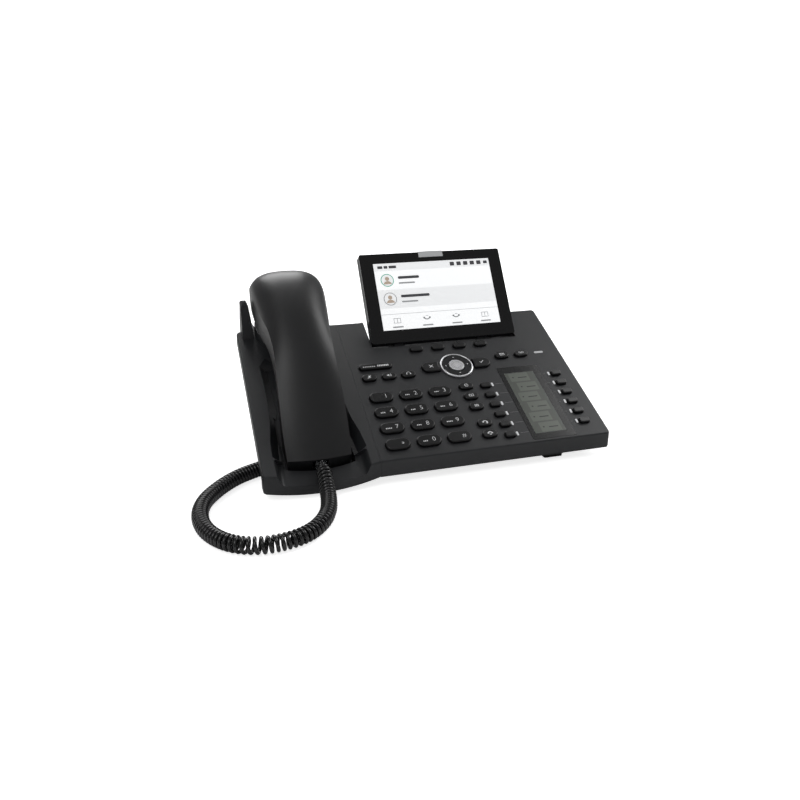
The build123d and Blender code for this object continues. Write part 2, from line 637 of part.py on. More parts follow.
with BuildPart() as cradle_housing:
    # swelling front, rounded in plan and along its lower edge
    with BuildSketch(Plane.XY):
        with BuildLine():
            ThreePointArc(
                (left_x, front_y),
                (left_x + HANDSET_U, front_y - LIP_BULGE),
                (left_x + SEAM_U, front_y),
            )
            Polyline(
                (left_x + SEAM_U, front_y),
                (left_x + SEAM_U, front_y + LIP_BLOCK),
                (left_x, front_y + LIP_BLOCK),
                (left_x, front_y),
            )
        make_face()
    extrude(amount=40)
    with BuildSketch(Plane.XZ.offset(-front_y - 30)):
        with BuildLine():
            ThreePointArc((left_x, 5.0), (left_x + HANDSET_U, 2.5), (left_x + SEAM_U, 6.4))
            Polyline(
                (left_x + SEAM_U, 6.4),
                (left_x + SEAM_U, 35),
                (left_x, 35),
                (left_x, 5.0),
            )
        make_face()
    extrude(amount=60, mode=Mode.INTERSECT)
    with BuildSketch(side(0)):
        with BuildLine():
            Polyline(*slab_outline(0, DEPTH, 0, -SKIRT), close=True)
        make_face()
    extrude(amount=SEAM_U)
    with BuildSketch(TOP):
        with Locations((WIDTH / 2, DEPTH / 2)):
            Rectangle(3 * WIDTH, 3 * DEPTH)
    extrude(amount=60, mode=Mode.SUBTRACT)
    corners = cradle_housing.edges().filter_by(Axis.Z).sort_by(Axis.X)[:1]
    corners += cradle_housing.edges().filter_by(Axis(TOP.origin, TOP.z_dir)).sort_by(Axis.X)[:1]
    fillet(corners, BODY_CORNER)
    top_face = cradle_housing.faces().sort_by(Axis(TOP.origin, TOP.z_dir))[-1]
    rim = [edge for edge in top_face.edges() if edge.center().X < left_x + SEAM_U - 0.1]
    fillet(rim, EDGE_ROUND)
    # hollow underneath, behind the solid front
    with BuildSketch(side(WALL)):
        with BuildLine():
            Polyline(*slab_outline(SOLID_FRONT, DEPTH - WALL, -WALL, -SKIRT - 1), close=True)
        make_face()
    extrude(amount=SEAM_U - 2 * WALL, mode=Mode.SUBTRACT)
    # floor under the dish and tub for the microphone end
    with BuildSketch(TOP.offset(DISH_FLOOR - WALL)):
        with Locations((DISH_SIDES[3][1] - WALL, SOLID_FRONT - 1)):
            Rectangle(DISH_SIDES[3][2] - DISH_SIDES[3][1] + 2 * WALL, 57, align=Align.MIN)
    extrude(amount=-DISH_FLOOR)
    with BuildSketch(side(TUB[0])):
        with BuildLine():
            Polyline(
                (TUB[2], TUB_BOTTOM),
                (TUB[3] - TUB_SLOPE, TUB_BOTTOM),
                (TUB[3], DISH_FLOOR - WALL),
                (TUB[3], -0.5),
                (TUB[2], -0.5),
                close=True,
            )
        make_face()
    extrude(amount=TUB[1] - TUB[0])
    # collar of the earpiece seat
    with BuildSketch(TOP.offset(-SKIRT)):
        with Locations((HANDSET_U, EAR_CUP_V)):
            Circle(SEAT_R)
    extrude(amount=SKIRT + SEAT_TOP)
    with BuildSketch(TOP.offset(-SKIRT - 1)):
        with Locations((HANDSET_U, EAR_CUP_V)):
            Circle(SEAT_R - WALL)
    extrude(amount=SKIRT + 1 + SEAT_FLOOR - WALL, mode=Mode.SUBTRACT)
    with BuildSketch(TOP.offset(SEAT_FLOOR)):
        with Locations((HANDSET_U, EAR_CUP_V)):
            Circle(EAR_CUP_R + 1.4)
    extrude(amount=20, mode=Mode.SUBTRACT)
    with BuildSketch(TOP.offset(-SKIRT - 1)):
        with Locations(HOOK_PLACE):
            Circle(HOOK_R + GAP)
    extrude(amount=30, mode=Mode.SUBTRACT)
    # cuts from above: dish, deep end and front notch with its soft shoulders
    add(dish.part, mode=Mode.SUBTRACT)
    add(mic_pocket.part, mode=Mode.SUBTRACT)
    with BuildSketch(section(-14)):
        with BuildLine():
            left_shoulder = Spline((7.0, 0.6), (14.0, LIP_TOP), tangents=((1, -0.2), (1, 0)))
            right_shoulder = Spline((62.4, LIP_TOP), (70.0, 0.6), tangents=((1, 0), (1, 0.2)))
            Line(left_shoulder @ 1, right_shoulder @ 0)
            Polyline(right_shoulder @ 1, (70.0, 4), (7.0, 4), left_shoulder @ 0)
        make_face()
    extrude(amount=-14 - MIC_FRONT_CORNER_V - 4, mode=Mode.SUBTRACT)
    add(horn.part)
save(cradle_housing, "cradle_housing")

with BuildPart() as hook_switch:
    with BuildSketch(TOP.offset(-5.0)):
        with Locations(HOOK_PLACE):
            Circle(HOOK_R)
    extrude(amount=5.0 + SEAT_FLOOR - 0.3)
    top = hook_switch.faces().sort_by(Axis(TOP.origin, TOP.z_dir))[-1]
    fillet(top.edges(), 0.8)
    with BuildSketch(TOP.offset(-5.0)):
        with Locations(HOOK_PLACE):
            Circle(HOOK_R + 1.5)
    extrude(amount=1.2)
save(hook_switch, "hook_switch")


# ---- foot stand and feet ----
STAND = (80.0, 219.0)
STAND_V = (82.0, 106.0)
STAND_FOOT = (97.0, 124.0)       # its depth on the desk, from the front edge
STAND_WALL = 3.0
stand_top = -BELLY_DEPTH - 0.1

with BuildPart() as foot_stand:
    front_top = world(0, STAND_V[0], stand_top)
    rear_top = world(0, STAND_V[1], stand_top)
    with BuildSketch(Plane.YZ.offset(left_x + STAND[0])):
        with BuildLine():
            Polyline(
                (front_top.Y, front_top.Z),
                (rear_top.Y, rear_top.Z),
                (front_y + STAND_FOOT[1], PAD_THICK),
                (front_y + STAND_FOOT[0], PAD_THICK),
                close=True,
            )
        make_face()
    extrude(amount=STAND[1] - STAND[0])
    with BuildSketch(Plane.YZ.offset(left_x + STAND[0] + STAND_WALL)):
        with BuildLine():
            Polyline(
                (front_top.Y + 4, front_top.Z - 2),
                (rear_top.Y - 3, rear_top.Z - 4.5),
                (front_y + STAND_FOOT[1] - STAND_WALL, -1),
                (front_y + STAND_FOOT[0] + STAND_WALL + 1, -1),
                close=True,
            )
        make_face()
    extrude(amount=STAND[1] - STAND[0] - 2 * STAND_WALL, mode=Mode.SUBTRACT)
    # arch for the cables
    with BuildSketch(Plane.XZ.offset(-front_y - 80)):
        with Locations((left_x + (STAND[0] + STAND[1]) / 2, 0)):
            Rectangle(70, 22, align=(Align.CENTER, Align.MIN))
    extrude(amount=-60, mode=Mode.SUBTRACT)
save(foot_stand, "foot_stand")

with BuildPart() as rubber_feet:
    with BuildSketch(Plane.XY):
        for u, v, wide in POST_PLACES:
            foot = world(u, v, PLATE_TOP)
            with Locations((foot.X, foot.Y)):
                RectangleRounded(wide, 9, 1.4)
        for u in (STAND[0] + 12, STAND[1] - 12):
            with Locations((left_x + u, front_y + STAND_FOOT[1] - 7)):
                RectangleRounded(18, 10, 2)
    extrude(amount=PAD_THICK - 0.02)
save(rubber_feet, "rubber_feet")


# ---- display, drawn in (right, up its glass), facing out of the glass ----
display_angle = math.radians(TILT + DISPLAY_RISE)
DISPLAY_UP = (0, math.cos(display_angle), math.sin(display_angle))
DISPLAY_OUT = (0, -math.sin(display_angle), math.cos(display_angle))
GLASS = Plane(
    origin=world(DISPLAY_LEFT, DISPLAY_FOOT_V, DISPLAY_FOOT_W),
    x_dir=(1, 0, 0),
    z_dir=DISPLAY_OUT,
)
glass_mid = (DISPLAY_WIDTH / 2, DISPLAY_HEIGHT / 2)
COVER_WALL = 1.8
LIGHT_BAR = (20.0, 4.4)          # width, depth below the top edge
LIGHT_BAR_THICK = 6.0
PANEL_THICK = 3.4
rise = math.radians(DISPLAY_RISE)
hinge_up = (HINGE_V - DISPLAY_FOOT_V) * math.cos(rise) + (HINGE_W - DISPLAY_FOOT_W) * math.sin(rise)
hinge_out = (HINGE_W - DISPLAY_FOOT_W) * math.cos(rise) - (HINGE_V - DISPLAY_FOOT_V) * math.sin(rise)


def display_side(across):
    """Plane across the display, drawn in (up the glass, out of the glass)."""
    return Plane(origin=GLASS.from_local_coords((across, 0, 0)), x_dir=DISPLAY_UP, z_dir=(1, 0, 0))


with BuildPart() as display_glass:
    with BuildSketch(GLASS.offset(-GLASS_THICK)):
        with Locations(glass_mid):
            RectangleRounded(DISPLAY_WIDTH, DISPLAY_HEIGHT, 1.6)
        with Locations((glass_mid[0], DISPLAY_HEIGHT)):
            Rectangle(LIGHT_BAR[0], 2 * LIGHT_BAR[1], mode=Mode.SUBTRACT)
    extrude(amount=GLASS_THICK)
save(display_glass, "display_glass")

with BuildPart() as display_light_bar:
    with BuildSketch(GLASS.offset(-LIGHT_BAR_THICK)):
        with Locations((glass_mid[0], DISPLAY_HEIGHT - LIGHT_BAR[1] + 0.1)):
            Rectangle(LIGHT_BAR[0] - 0.2, LIGHT_BAR[1] + 0.4, align=(Align.CENTER, Align.MIN))
    extrude(amount=LIGHT_BAR_THICK + 0.2)
save(display_light_bar, "display_light_bar")

with BuildPart() as display_panel:
    with BuildSketch(GLASS.offset(-GLASS_THICK - 0.05 - PANEL_THICK)):
        with Locations((LCD_LEFT + LCD_WIDTH / 2, LCD_BOTTOM + LCD_HEIGHT / 2 - 1)):
            Rectangle(LCD_WIDTH + 6, LCD_HEIGHT + 5)
    extrude(amount=PANEL_THICK)
save(display_panel, "display_panel")

with BuildPart() as display_rear_cover:
    with BuildSketch(GLASS.offset(-DISPLAY_THICK)):
        with Locations(glass_mid):
            RectangleRounded(DISPLAY_WIDTH, DISPLAY_HEIGHT, 1.6)
    extrude(amount=DISPLAY_THICK - GLASS_THICK - 0.02)
    back = display_rear_cover.faces().sort_by(Axis(GLASS.origin, GLASS.z_dir))[0]
    chamfer(back.edges(), 1.6)
    with BuildSketch(GLASS.offset(COVER_WALL - DISPLAY_THICK)):
        with Locations(glass_mid):
            Rectangle(DISPLAY_WIDTH - 2 * COVER_WALL, DISPLAY_HEIGHT - 2 * COVER_WALL)
    extrude(amount=DISPLAY_THICK, mode=Mode.SUBTRACT)
    with BuildSketch(GLASS.offset(-LIGHT_BAR_THICK - 0.1)):
        with Locations((glass_mid[0], DISPLAY_HEIGHT)):
            Rectangle(LIGHT_BAR[0], 2 * LIGHT_BAR[1], mode=Mode.ADD)
    extrude(amount=LIGHT_BAR_THICK + 1, mode=Mode.SUBTRACT)
    # knuckles and pins that turn in the bearing ears
    for ear_u, outward in ((EAR_PLACES[0] + EAR_THICK, 1), (EAR_PLACES[1], -1)):
        start = ear_u - DISPLAY_LEFT + outward * GAP
        with BuildSketch(display_side(start)):
            with Locations((hinge_up, hinge_out)):
                Circle(KNUCKLE_R)
            with Locations((hinge_up, hinge_out)):
                Rectangle(1.2 - hinge_up, 2 * KNUCKLE_R - 0.4, align=(Align.MIN, Align.CENTER))
        extrude(amount=outward * 8)
        with BuildSketch(display_side(start)):
            with Locations((hinge_up, hinge_out)):
                Circle(HINGE_PIN_R)
        extrude(amount=-outward * (EAR_THICK + GAP - 0.3))
save(display_rear_cover, "display_rear_cover")


# ---- handset ----
# guide curves along the slope, as (v, value): middle of the back, side crease, half width
BACK_GUIDE = (
    (-12, -12.0), (0, -4.2), (22, 10.8), (45, 25.0), (70, 38.2), (94, 46.6),
    (116, 50.8), (134, 51.0), (150, 45.4), (160, 36.0), (168, 23.0), (176, 6.0),
)
CREASE_GUIDE = (
    (-12, -18.0), (0, -8.8), (25, 8.6), (50, 24.0), (74, 35.0), (94, 37.8),
    (114, 35.2), (138, 31.6), (154, 27.6), (168, 17.0), (178, 4.0),
)
WIDTH_GUIDE = (
    (-12, 20.0), (0, 20.2), (25, 21.2), (50, 20.6), (74, 19.8), (94, 21.0),
    (114, 23.6), (134, 25.7), (150, 25.9), (168, 24.0), (180, 20.0),
)
HANDSET_STATIONS = 15
PLAIN_FULLNESS = 0.57          # height of the shoulders, as a share of the crown
HEAD_FULLNESS = 0.2            # added at the head
HEAD_START = 40.0
HEAD_BLEND = 110.0
LOFT_END = 167.0
HANDSET_FLOOR = -24.0
HEAD_END = 163.5
END_CORNER_V = 11.0
END_MIDDLE_V = 7.3
PARTING = (
    (0, -10), (12, -7), (28, 3), (46, 13), (64, 22.5), (80, 27.5),
    (96, 28), (112, 24.5), (128, 22.5), (142, 21.5), (156, 20.5), (170, 20),
)
SOCKET_LOW, SOCKET_HIGH = -7.2, -0.6


def guide(points, v):
    """Smooth curve through the points, read at v (Catmull-Rom)."""
    place = max(i for i in range(1, len(points) - 2) if points[i][0] <= v or i == 1)
    (v0, a0), (v1, a1), (v2, a2), (v3, a3) = points[place - 1 : place + 3]
    span = v2 - v1
    t = (v - v1) / span
    slope1 = (a2 - a0) / (v2 - v0) * span
    slope2 = (a3 - a1) / (v3 - v1) * span
    return (
        (2 * t**3 - 3 * t**2 + 1) * a1
        + (t**3 - 2 * t**2 + t) * slope1
        + (3 * t**2 - 2 * t**3) * a2
        + (t**3 - t**2) * slope2
    )


def handset_blank(inset):
    """Outside of the handset with a straight underside, made smaller by inset."""
    with BuildPart() as blank:
        for index in range(HANDSET_STATIONS):
            v = LOFT_END * index / (HANDSET_STATIONS - 1)
            reach = guide(WIDTH_GUIDE, v) - inset
            top = guide(BACK_GUIDE, v) - inset
            low = guide(CREASE_GUIDE, v) - inset
            head = min(max((v - HEAD_START) / HEAD_BLEND, 0), 1)
            full = PLAIN_FULLNESS + HEAD_FULLNESS * head * head * (3 - 2 * head)
            with BuildSketch(section(v)):
                with BuildLine():
                    Spline(
                        (HANDSET_U - reach, low),
                        (HANDSET_U - 0.7 * reach, low + full * (top - low)),
                        (HANDSET_U, top),
                        (HANDSET_U + 0.7 * reach, low + full * (top - low)),
                        (HANDSET_U + reach, low),
                    )
                    Polyline(
                        (HANDSET_U + reach, low),
                        (HANDSET_U + reach - 1.6, HANDSET_FLOOR),
                        (HANDSET_U - reach + 1.6, HANDSET_FLOOR),
                        (HANDSET_U - reach, low),
                    )
                make_face()
        loft()
        # plan outline: softly bowed lower end, rounded head
        with BuildSketch(TOP.offset(-40)):
            with BuildLine():
                ThreePointArc(
                    (HANDSET_U - 22, END_CORNER_V + inset),
                    (HANDSET_U, END_MIDDLE_V + inset),
                    (HANDSET_U + 22, END_CORNER_V + inset),
                )
                Polyline(
                    (HANDSET_U + 22, END_CORNER_V + inset),
                    (HANDSET_U + 30, END_CORNER_V + inset),
                    (HANDSET_U + 30, 138.0),
                    (HANDSET_U + 26.4 - inset, 138.0),
                )
                Spline(
                    (HANDSET_U + 26.4 - inset, 138.0),
                    (HANDSET_U + 23.6 - inset, 155.0 - inset),
                    (HANDSET_U, HEAD_END - inset),
                    (HANDSET_U - 23.6 + inset, 155.0 - inset),
                    (HANDSET_U - 26.4 + inset, 138.0),
                    tangents=((0, 1), (0, -1)),
                )
                Polyline(
                    (HANDSET_U - 26.4 + inset, 138.0),
                    (HANDSET_U - 30, 138.0),
                    (HANDSET_U - 30, END_CORNER_V + inset),
                    (HANDSET_U - 22, END_CORNER_V + inset),
                )
            make_face()
        extrude(amount=120, mode=Mode.INTERSECT)
    return blank.part


blanks = {inset: handset_blank(inset) for inset in (0, HANDSET_WALL)}


def handset_body(inset):
    """Whole handset, arched underneath, with the round earpiece cup."""
    with BuildPart() as body:
        add(blanks[inset])
        with BuildSketch(side(0)):
            with BuildLine():
                arch = Spline(
                    (34, MIC_UNDER + inset),
                    (44, MIC_UNDER + 5 + inset),
                    (54, 3 + inset),
                    (70, 14.5 + inset),
                    (90, 19.5 + inset),
                    (104, 18 + inset),
                    (116, HEAD_UNDER + inset),
                    tangents=((1, 0), (1, 0)),
                )
                Polyline(
                    arch @ 1,
                    (190, HEAD_UNDER + inset),
                    (190, -60),
                    (-10, -60),
                    (-10, MIC_UNDER + inset),
                    arch @ 0,
                )
            make_face()
        extrude(amount=2 * HANDSET_U, mode=Mode.SUBTRACT)
        with BuildSketch(TOP.offset(EAR_CUP_END + inset)):
            with Locations((HANDSET_U, EAR_CUP_V)):
                Circle(EAR_CUP_R - inset)
        extrude(amount=HEAD_UNDER + 4 - EAR_CUP_END - inset)
    return body.part


whole_handset = handset_body(0)
handset_inside = handset_body(HANDSET_WALL)


def handset_shell(above):
    """One half of the hollow handset, above or below the parting line."""
    lift = 0.05 if above else -0.05
    far = 200 if above else -200
    with BuildPart() as shell:
        add(whole_handset)
        add(handset_inside, mode=Mode.SUBTRACT)
        with BuildSketch(side(0)):
            with BuildLine():
                parting = Spline(*[(v, w + lift) for v, w in PARTING])
                Polyline(parting @ 1, (170, far), (0, far), parting @ 0)
            make_face()
        extrude(amount=2 * HANDSET_U, mode=Mode.INTERSECT)
        with BuildSketch(section(0)):
            with Locations((HANDSET_U, (SOCKET_LOW + SOCKET_HIGH) / 2)):
                Rectangle(SOCKET_WIDTH, SOCKET_HIGH - SOCKET_LOW)
        extrude(amount=-16, mode=Mode.SUBTRACT)
    return shell


save(handset_shell(True), "handset_outer_shell")
save(handset_shell(False), "handset_inner_shell")

with BuildPart() as handset_capsules:
    # receiver in the earpiece cup, microphone and cord socket in the lower end
    with BuildSketch(TOP.offset(EAR_CUP_END + HANDSET_WALL + 0.1)):
        with Locations((HANDSET_U, EAR_CUP_V)):
            Circle(14)
    extrude(amount=7)
    with BuildSketch(TOP.offset(MIC_UNDER + HANDSET_WALL + 0.1)):
        with Locations((HANDSET_U, 30)):
            Circle(4.9)
    extrude(amount=5)
    with BuildSketch(TOP.offset(SOCKET_LOW - 1.5)):
        with Locations((HANDSET_U, END_MIDDLE_V + HANDSET_WALL + 1.2)):
            Rectangle(SOCKET_WIDTH + 2.4, 12, align=(Align.CENTER, Align.MIN))
    extrude(amount=SOCKET_HIGH - SOCKET_LOW + 1.3)
    with BuildSketch(section(0)):
        with Locations((HANDSET_U, (SOCKET_LOW + SOCKET_HIGH) / 2)):
            Rectangle(SOCKET_WIDTH - 2, SOCKET_HIGH - SOCKET_LOW - 1.2)
    extrude(amount=-20, mode=Mode.SUBTRACT)
save(handset_capsules, "handset_capsules")


# ---- handset cord: route over the desk, from the front left corner of the body ----
CORD_ROUTE = (
    (37.5, 6.1, 19.4),
    (37.8, -3.6, 15.0),
    (37.4, -12.4, 9.3),
    (36.6, -21.0, 6.2),
    (34.2, -31.5, 5.3),
    (28.9, -43.0, 5.3),
    (19.3, -53.6, 5.3),
    (6.0, -58.9, 5.3),
    (-9.4, -59.7, 5.3),
    (-23.0, -53.9, 5.3),
    (-32.5, -43.2, 5.3),
    (-38.2, -29.5, 5.3),
    (-39.3, -13.8, 5.3),
    (-35.6, 1.2, 5.3),
    (-26.2, 15.6, 5.3),
    (-14.8, 27.6, 5.3),
    (-3.0, 34.6, 5.3),
    (10.5, 40.0, 5.5),
    (23.5, 46.5, 8.6),
    (36.0, 52.5, 14.4),
    (47.5, 56.0, 19.8),
    (58.5, 57.0, 23.2),
    (69.4, 57.1, 24.0),
)
route = [Vector(left_x + x, front_y + y, z) for x, y, z in CORD_ROUTE]
radii = []
for before, here, after in zip(route, route[1:], route[2:]):
    half_turn = math.radians((here - before).get_angle(after - here)) / 2
    shorter = min((here - before).length, (after - here).length)
    radii.append(0.45 * shorter / math.tan(half_turn))
print("cord radii", [round(radius, 1) for radius in radii])

with BuildPart() as handset_cord:
    with BuildLine():
        path = FilletPolyline(*route, radius=radii)
    with BuildSketch(Plane(origin=path @ 0, z_dir=path % 0)):
        Circle(CORD_D / 2)
    sweep(path=path)
save(handset_cord, "handset_cord")
tube = math.pi * (CORD_D / 2) ** 2 * path.length
print("cord length", round(path.length, 1), "volume", handset_cord.part.volume / tube)
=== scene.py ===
import json
import math

import bmesh
import bpy
from mathutils import Matrix, Vector


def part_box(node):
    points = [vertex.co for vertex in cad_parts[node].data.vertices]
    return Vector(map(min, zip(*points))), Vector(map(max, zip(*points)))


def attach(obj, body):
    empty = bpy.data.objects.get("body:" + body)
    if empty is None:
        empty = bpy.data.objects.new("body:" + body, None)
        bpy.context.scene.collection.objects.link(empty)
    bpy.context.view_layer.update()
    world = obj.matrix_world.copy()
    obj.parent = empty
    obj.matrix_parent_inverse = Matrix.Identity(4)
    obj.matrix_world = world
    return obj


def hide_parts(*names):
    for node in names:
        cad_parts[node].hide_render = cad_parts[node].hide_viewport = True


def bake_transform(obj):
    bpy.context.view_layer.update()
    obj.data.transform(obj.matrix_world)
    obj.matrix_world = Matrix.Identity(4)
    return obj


# Desk telephone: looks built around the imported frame. Metres, +Z up, desk at Z = 0.

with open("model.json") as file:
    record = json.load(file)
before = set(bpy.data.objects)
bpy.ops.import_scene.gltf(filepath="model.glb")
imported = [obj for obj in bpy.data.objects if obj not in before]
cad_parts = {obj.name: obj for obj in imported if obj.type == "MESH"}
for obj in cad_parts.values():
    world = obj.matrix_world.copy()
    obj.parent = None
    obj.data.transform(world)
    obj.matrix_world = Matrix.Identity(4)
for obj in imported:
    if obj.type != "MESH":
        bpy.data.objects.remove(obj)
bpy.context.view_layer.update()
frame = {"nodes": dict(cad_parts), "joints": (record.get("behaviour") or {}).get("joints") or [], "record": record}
MM = 0.001


# ---- the phone's own directions and places ----
def joint_named(name):
    return next(joint for joint in frame["joints"] if joint["name"] == name)


RIGHT = Vector((1, 0, 0))
NORMAL = -Vector(joint_named("dial_key_5_press")["axis"]).normalized()
SLOPE = NORMAL.cross(RIGHT)


def span(node, axes=(RIGHT, SLOPE, NORMAL)):
    """Lowest and highest place of a CAD node along three directions."""
    points = [vertex.co for vertex in frame["nodes"][node].data.vertices]
    reach = [[point.dot(axis) for point in points] for axis in axes]
    return Vector([min(r) for r in reach]), Vector([max(r) for r in reach])


WINDOW_PROUD = 0.1 * MM             # the label window stands this far above the cover
TOP = span("label_window")[1].z - WINDOW_PROUD
LEFT = span("cradle_housing")[0].x
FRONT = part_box("top_cover")[0][1]


def on_top(u, v, w=0.0):
    """World point of a place on the sloping top, w above it."""
    return RIGHT * u + SLOPE * v + NORMAL * (TOP + w)


# front left corner of the sloping top
CORNER_Z = (TOP - FRONT * NORMAL.y) / NORMAL.z
CORNER_V = FRONT * SLOPE.y + CORNER_Z * SLOPE.z


def body_place(u, v, w=0.0):
    """World point from the top's front left corner, in millimetres."""
    return on_top(LEFT + u * MM, CORNER_V + v * MM, w * MM)


# ---- camera ----
camera = bpy.data.objects.new("camera", bpy.data.cameras.new("camera"))
bpy.context.scene.collection.objects.link(camera)
CAMERA_PLACE = (-0.15814, -0.48807, 0.22023)
CAMERA_AIM = Vector((-0.02715, -0.05387, 0.05))
CAMERA_LENS = 33.47                 # mm, on a sensor 36 mm wide
camera.location = CAMERA_PLACE
camera.rotation_euler = (CAMERA_AIM - camera.location).to_track_quat("-Z", "Y").to_euler()
camera.data.sensor_width = 36
camera.data.lens = CAMERA_LENS
camera.data.clip_start = 0.01
bpy.context.scene.camera = camera


# ---- materials ----
PIT_SHARE = 0.5                     # share of the pits in the moulded grain's height
GRAIN_DEPTH = 0.00008               # metres, for a bump strength of 1
NOISE_LOW, NOISE_HIGH = 0.3, 0.7    # most values of a noise texture lie between these
TURNING_PER_METRE = 3800.0
TURNED_GLOSS = (0.22, 0.42)         # lowest and highest roughness of turned metal
SHADE_OF_LIT = 0.96                 # darkest part of a lit surface, of its colour


def new_group(name, inputs, outputs):
    """An empty shader group with named sockets: (name, kind, default) and (name, kind)."""
    group = bpy.data.node_groups.new(name, "ShaderNodeTree")
    for label, kind, default in inputs:
        socket = group.interface.new_socket(label, in_out="INPUT", socket_type=kind)
        socket.default_value = default
    for label, kind in outputs:
        group.interface.new_socket(label, in_out="OUTPUT", socket_type=kind)
    return group, group.nodes.new("NodeGroupInput"), group.nodes.new("NodeGroupOutput")


def moulded_grain_group():
    """Fine moulded texture: height for a bump, and slow cloudiness of colour and gloss."""
    group, given, result = new_group(
        "moulded_grain",
        [
            ("Grain per metre", "NodeSocketFloat", 2600.0),
            ("Cloud per metre", "NodeSocketFloat", 18.0),
        ],
        [("Height", "NodeSocketFloat"), ("Cloud", "NodeSocketFloat")],
    )
    place = group.nodes.new("ShaderNodeTexCoord")
    fine = group.nodes.new("ShaderNodeTexNoise")
    fine.inputs["Detail"].default_value = 2.0
    pits = group.nodes.new("ShaderNodeTexVoronoi")
    blend = group.nodes.new("ShaderNodeMath")
    blend.operation = "MULTIPLY_ADD"
    blend.inputs[1].default_value = PIT_SHARE
    cloud = group.nodes.new("ShaderNodeTexNoise")
    cloud.inputs["Detail"].default_value = 4.0
    link = group.links.new
    link(place.outputs["Object"], fine.inputs["Vector"])
    link(place.outputs["Object"], pits.inputs["Vector"])
    link(place.outputs["Object"], cloud.inputs["Vector"])
    link(given.outputs["Grain per metre"], fine.inputs["Scale"])
    link(given.outputs["Grain per metre"], pits.inputs["Scale"])
    link(given.outputs["Cloud per metre"], cloud.inputs["Scale"])
    link(pits.outputs["Distance"], blend.inputs[0])
    link(fine.outputs["Fac"], blend.inputs[2])
    link(blend.outputs[0], result.inputs["Height"])
    link(cloud.outputs["Fac"], result.inputs["Cloud"])
    return group


GRAIN = moulded_grain_group()


def new_material(name):
    """A material with its nodes, its call for links and its main shader."""
    material = bpy.data.materials.new(name)
    material.use_nodes = True
    nodes = material.node_tree.nodes
    return material, nodes, material.node_tree.links.new, nodes["Principled BSDF"]


def span_node(nodes, link, source, low, high, target):
    """Feeds a value from low to high into a socket, following a noise texture."""
    ramp = nodes.new("ShaderNodeMapRange")
    ramp.inputs["From Min"].default_value = NOISE_LOW
    ramp.inputs["From Max"].default_value = NOISE_HIGH
    ramp.inputs["To Min"].default_value = low
    ramp.inputs["To Max"].default_value = high
    link(source, ramp.inputs["Value"])
    link(ramp.outputs["Result"], target)


def plastic(name, dark, light, gloss, grain=2600.0, bump=0.12, coat=0.0, specular=0.5):
    """Moulded plastic: gloss is (lowest, highest) roughness."""
    material, nodes, link, shader = new_material(name)
    texture = nodes.new("ShaderNodeGroup")
    texture.node_tree = GRAIN
    texture.inputs["Grain per metre"].default_value = grain
    tint = nodes.new("ShaderNodeMix")
    tint.data_type = "RGBA"
    tint.inputs["A"].default_value = (*dark, 1)
    tint.inputs["B"].default_value = (*light, 1)
    link(texture.outputs["Cloud"], tint.inputs["Factor"])
    link(tint.outputs["Result"], shader.inputs["Base Color"])
    span_node(nodes, link, texture.outputs["Cloud"], *gloss, shader.inputs["Roughness"])
    relief = nodes.new("ShaderNodeBump")
    relief.inputs["Strength"].default_value = bump
    relief.inputs["Distance"].default_value = GRAIN_DEPTH
    link(texture.outputs["Height"], relief.inputs["Height"])
    link(relief.outputs["Normal"], shader.inputs["Normal"])
    shader.inputs["Coat Weight"].default_value = coat
    shader.inputs["Specular IOR Level"].default_value = specular
    return material


def turned_metal(name, centre, dark=0.42, light=0.78):
    """Metal with fine rings of turning about a centre on the sloping top."""
    material, nodes, link, shader = new_material(name)
    place = nodes.new("ShaderNodeTexCoord")
    move = nodes.new("ShaderNodeMapping")
    move.vector_type = "POINT"
    move.inputs["Location"].default_value = -centre
    reach = nodes.new("ShaderNodeVectorMath")
    reach.operation = "LENGTH"
    rings = nodes.new("ShaderNodeTexNoise")
    rings.noise_dimensions = "1D"
    rings.inputs["Scale"].default_value = TURNING_PER_METRE
    rings.inputs["Detail"].default_value = 3.0
    link(place.outputs["Object"], move.inputs["Vector"])
    link(move.outputs["Vector"], reach.inputs[0])
    link(reach.outputs["Value"], rings.inputs["W"])
    span_node(nodes, link, rings.outputs["Fac"], *TURNED_GLOSS, shader.inputs["Roughness"])
    tint = nodes.new("ShaderNodeMix")
    tint.data_type = "RGBA"
    tint.inputs["A"].default_value = (dark, dark, 1.03 * dark, 1)
    tint.inputs["B"].default_value = (light, light, 1.02 * light, 1)
    link(rings.outputs["Fac"], tint.inputs["Factor"])
    link(tint.outputs["Result"], shader.inputs["Base Color"])
    shader.inputs["Metallic"].default_value = 1.0
    return material


def lit(name, colour, strength, rough=0.35):
    """A surface that also glows a little, such as a screen picture or a light."""
    material, nodes, link, shader = new_material(name)
    texture = nodes.new("ShaderNodeGroup")
    texture.node_tree = GRAIN
    texture.inputs["Cloud per metre"].default_value = 30.0
    tint = nodes.new("ShaderNodeMix")
    tint.data_type = "RGBA"
    tint.inputs["A"].default_value = (*[SHADE_OF_LIT * part for part in colour], 1)
    tint.inputs["B"].default_value = (*colour, 1)
    link(texture.outputs["Cloud"], tint.inputs["Factor"])
    link(tint.outputs["Result"], shader.inputs["Base Color"])
    link(tint.outputs["Result"], shader.inputs["Emission Color"])
    shader.inputs["Emission Strength"].default_value = strength
    shader.inputs["Roughness"].default_value = rough
    return material


def clear_plastic(name, colour, rough=0.08):
    """Clear moulded plastic, such as a plug's body."""
    material, nodes, link, shader = new_material(name)
    shader.inputs["Base Color"].default_value = (*colour, 1)
    shader.inputs["Transmission Weight"].default_value = 0.9
    shader.inputs["Roughness"].default_value = rough
    shader.inputs["IOR"].default_value = 1.5
    return material


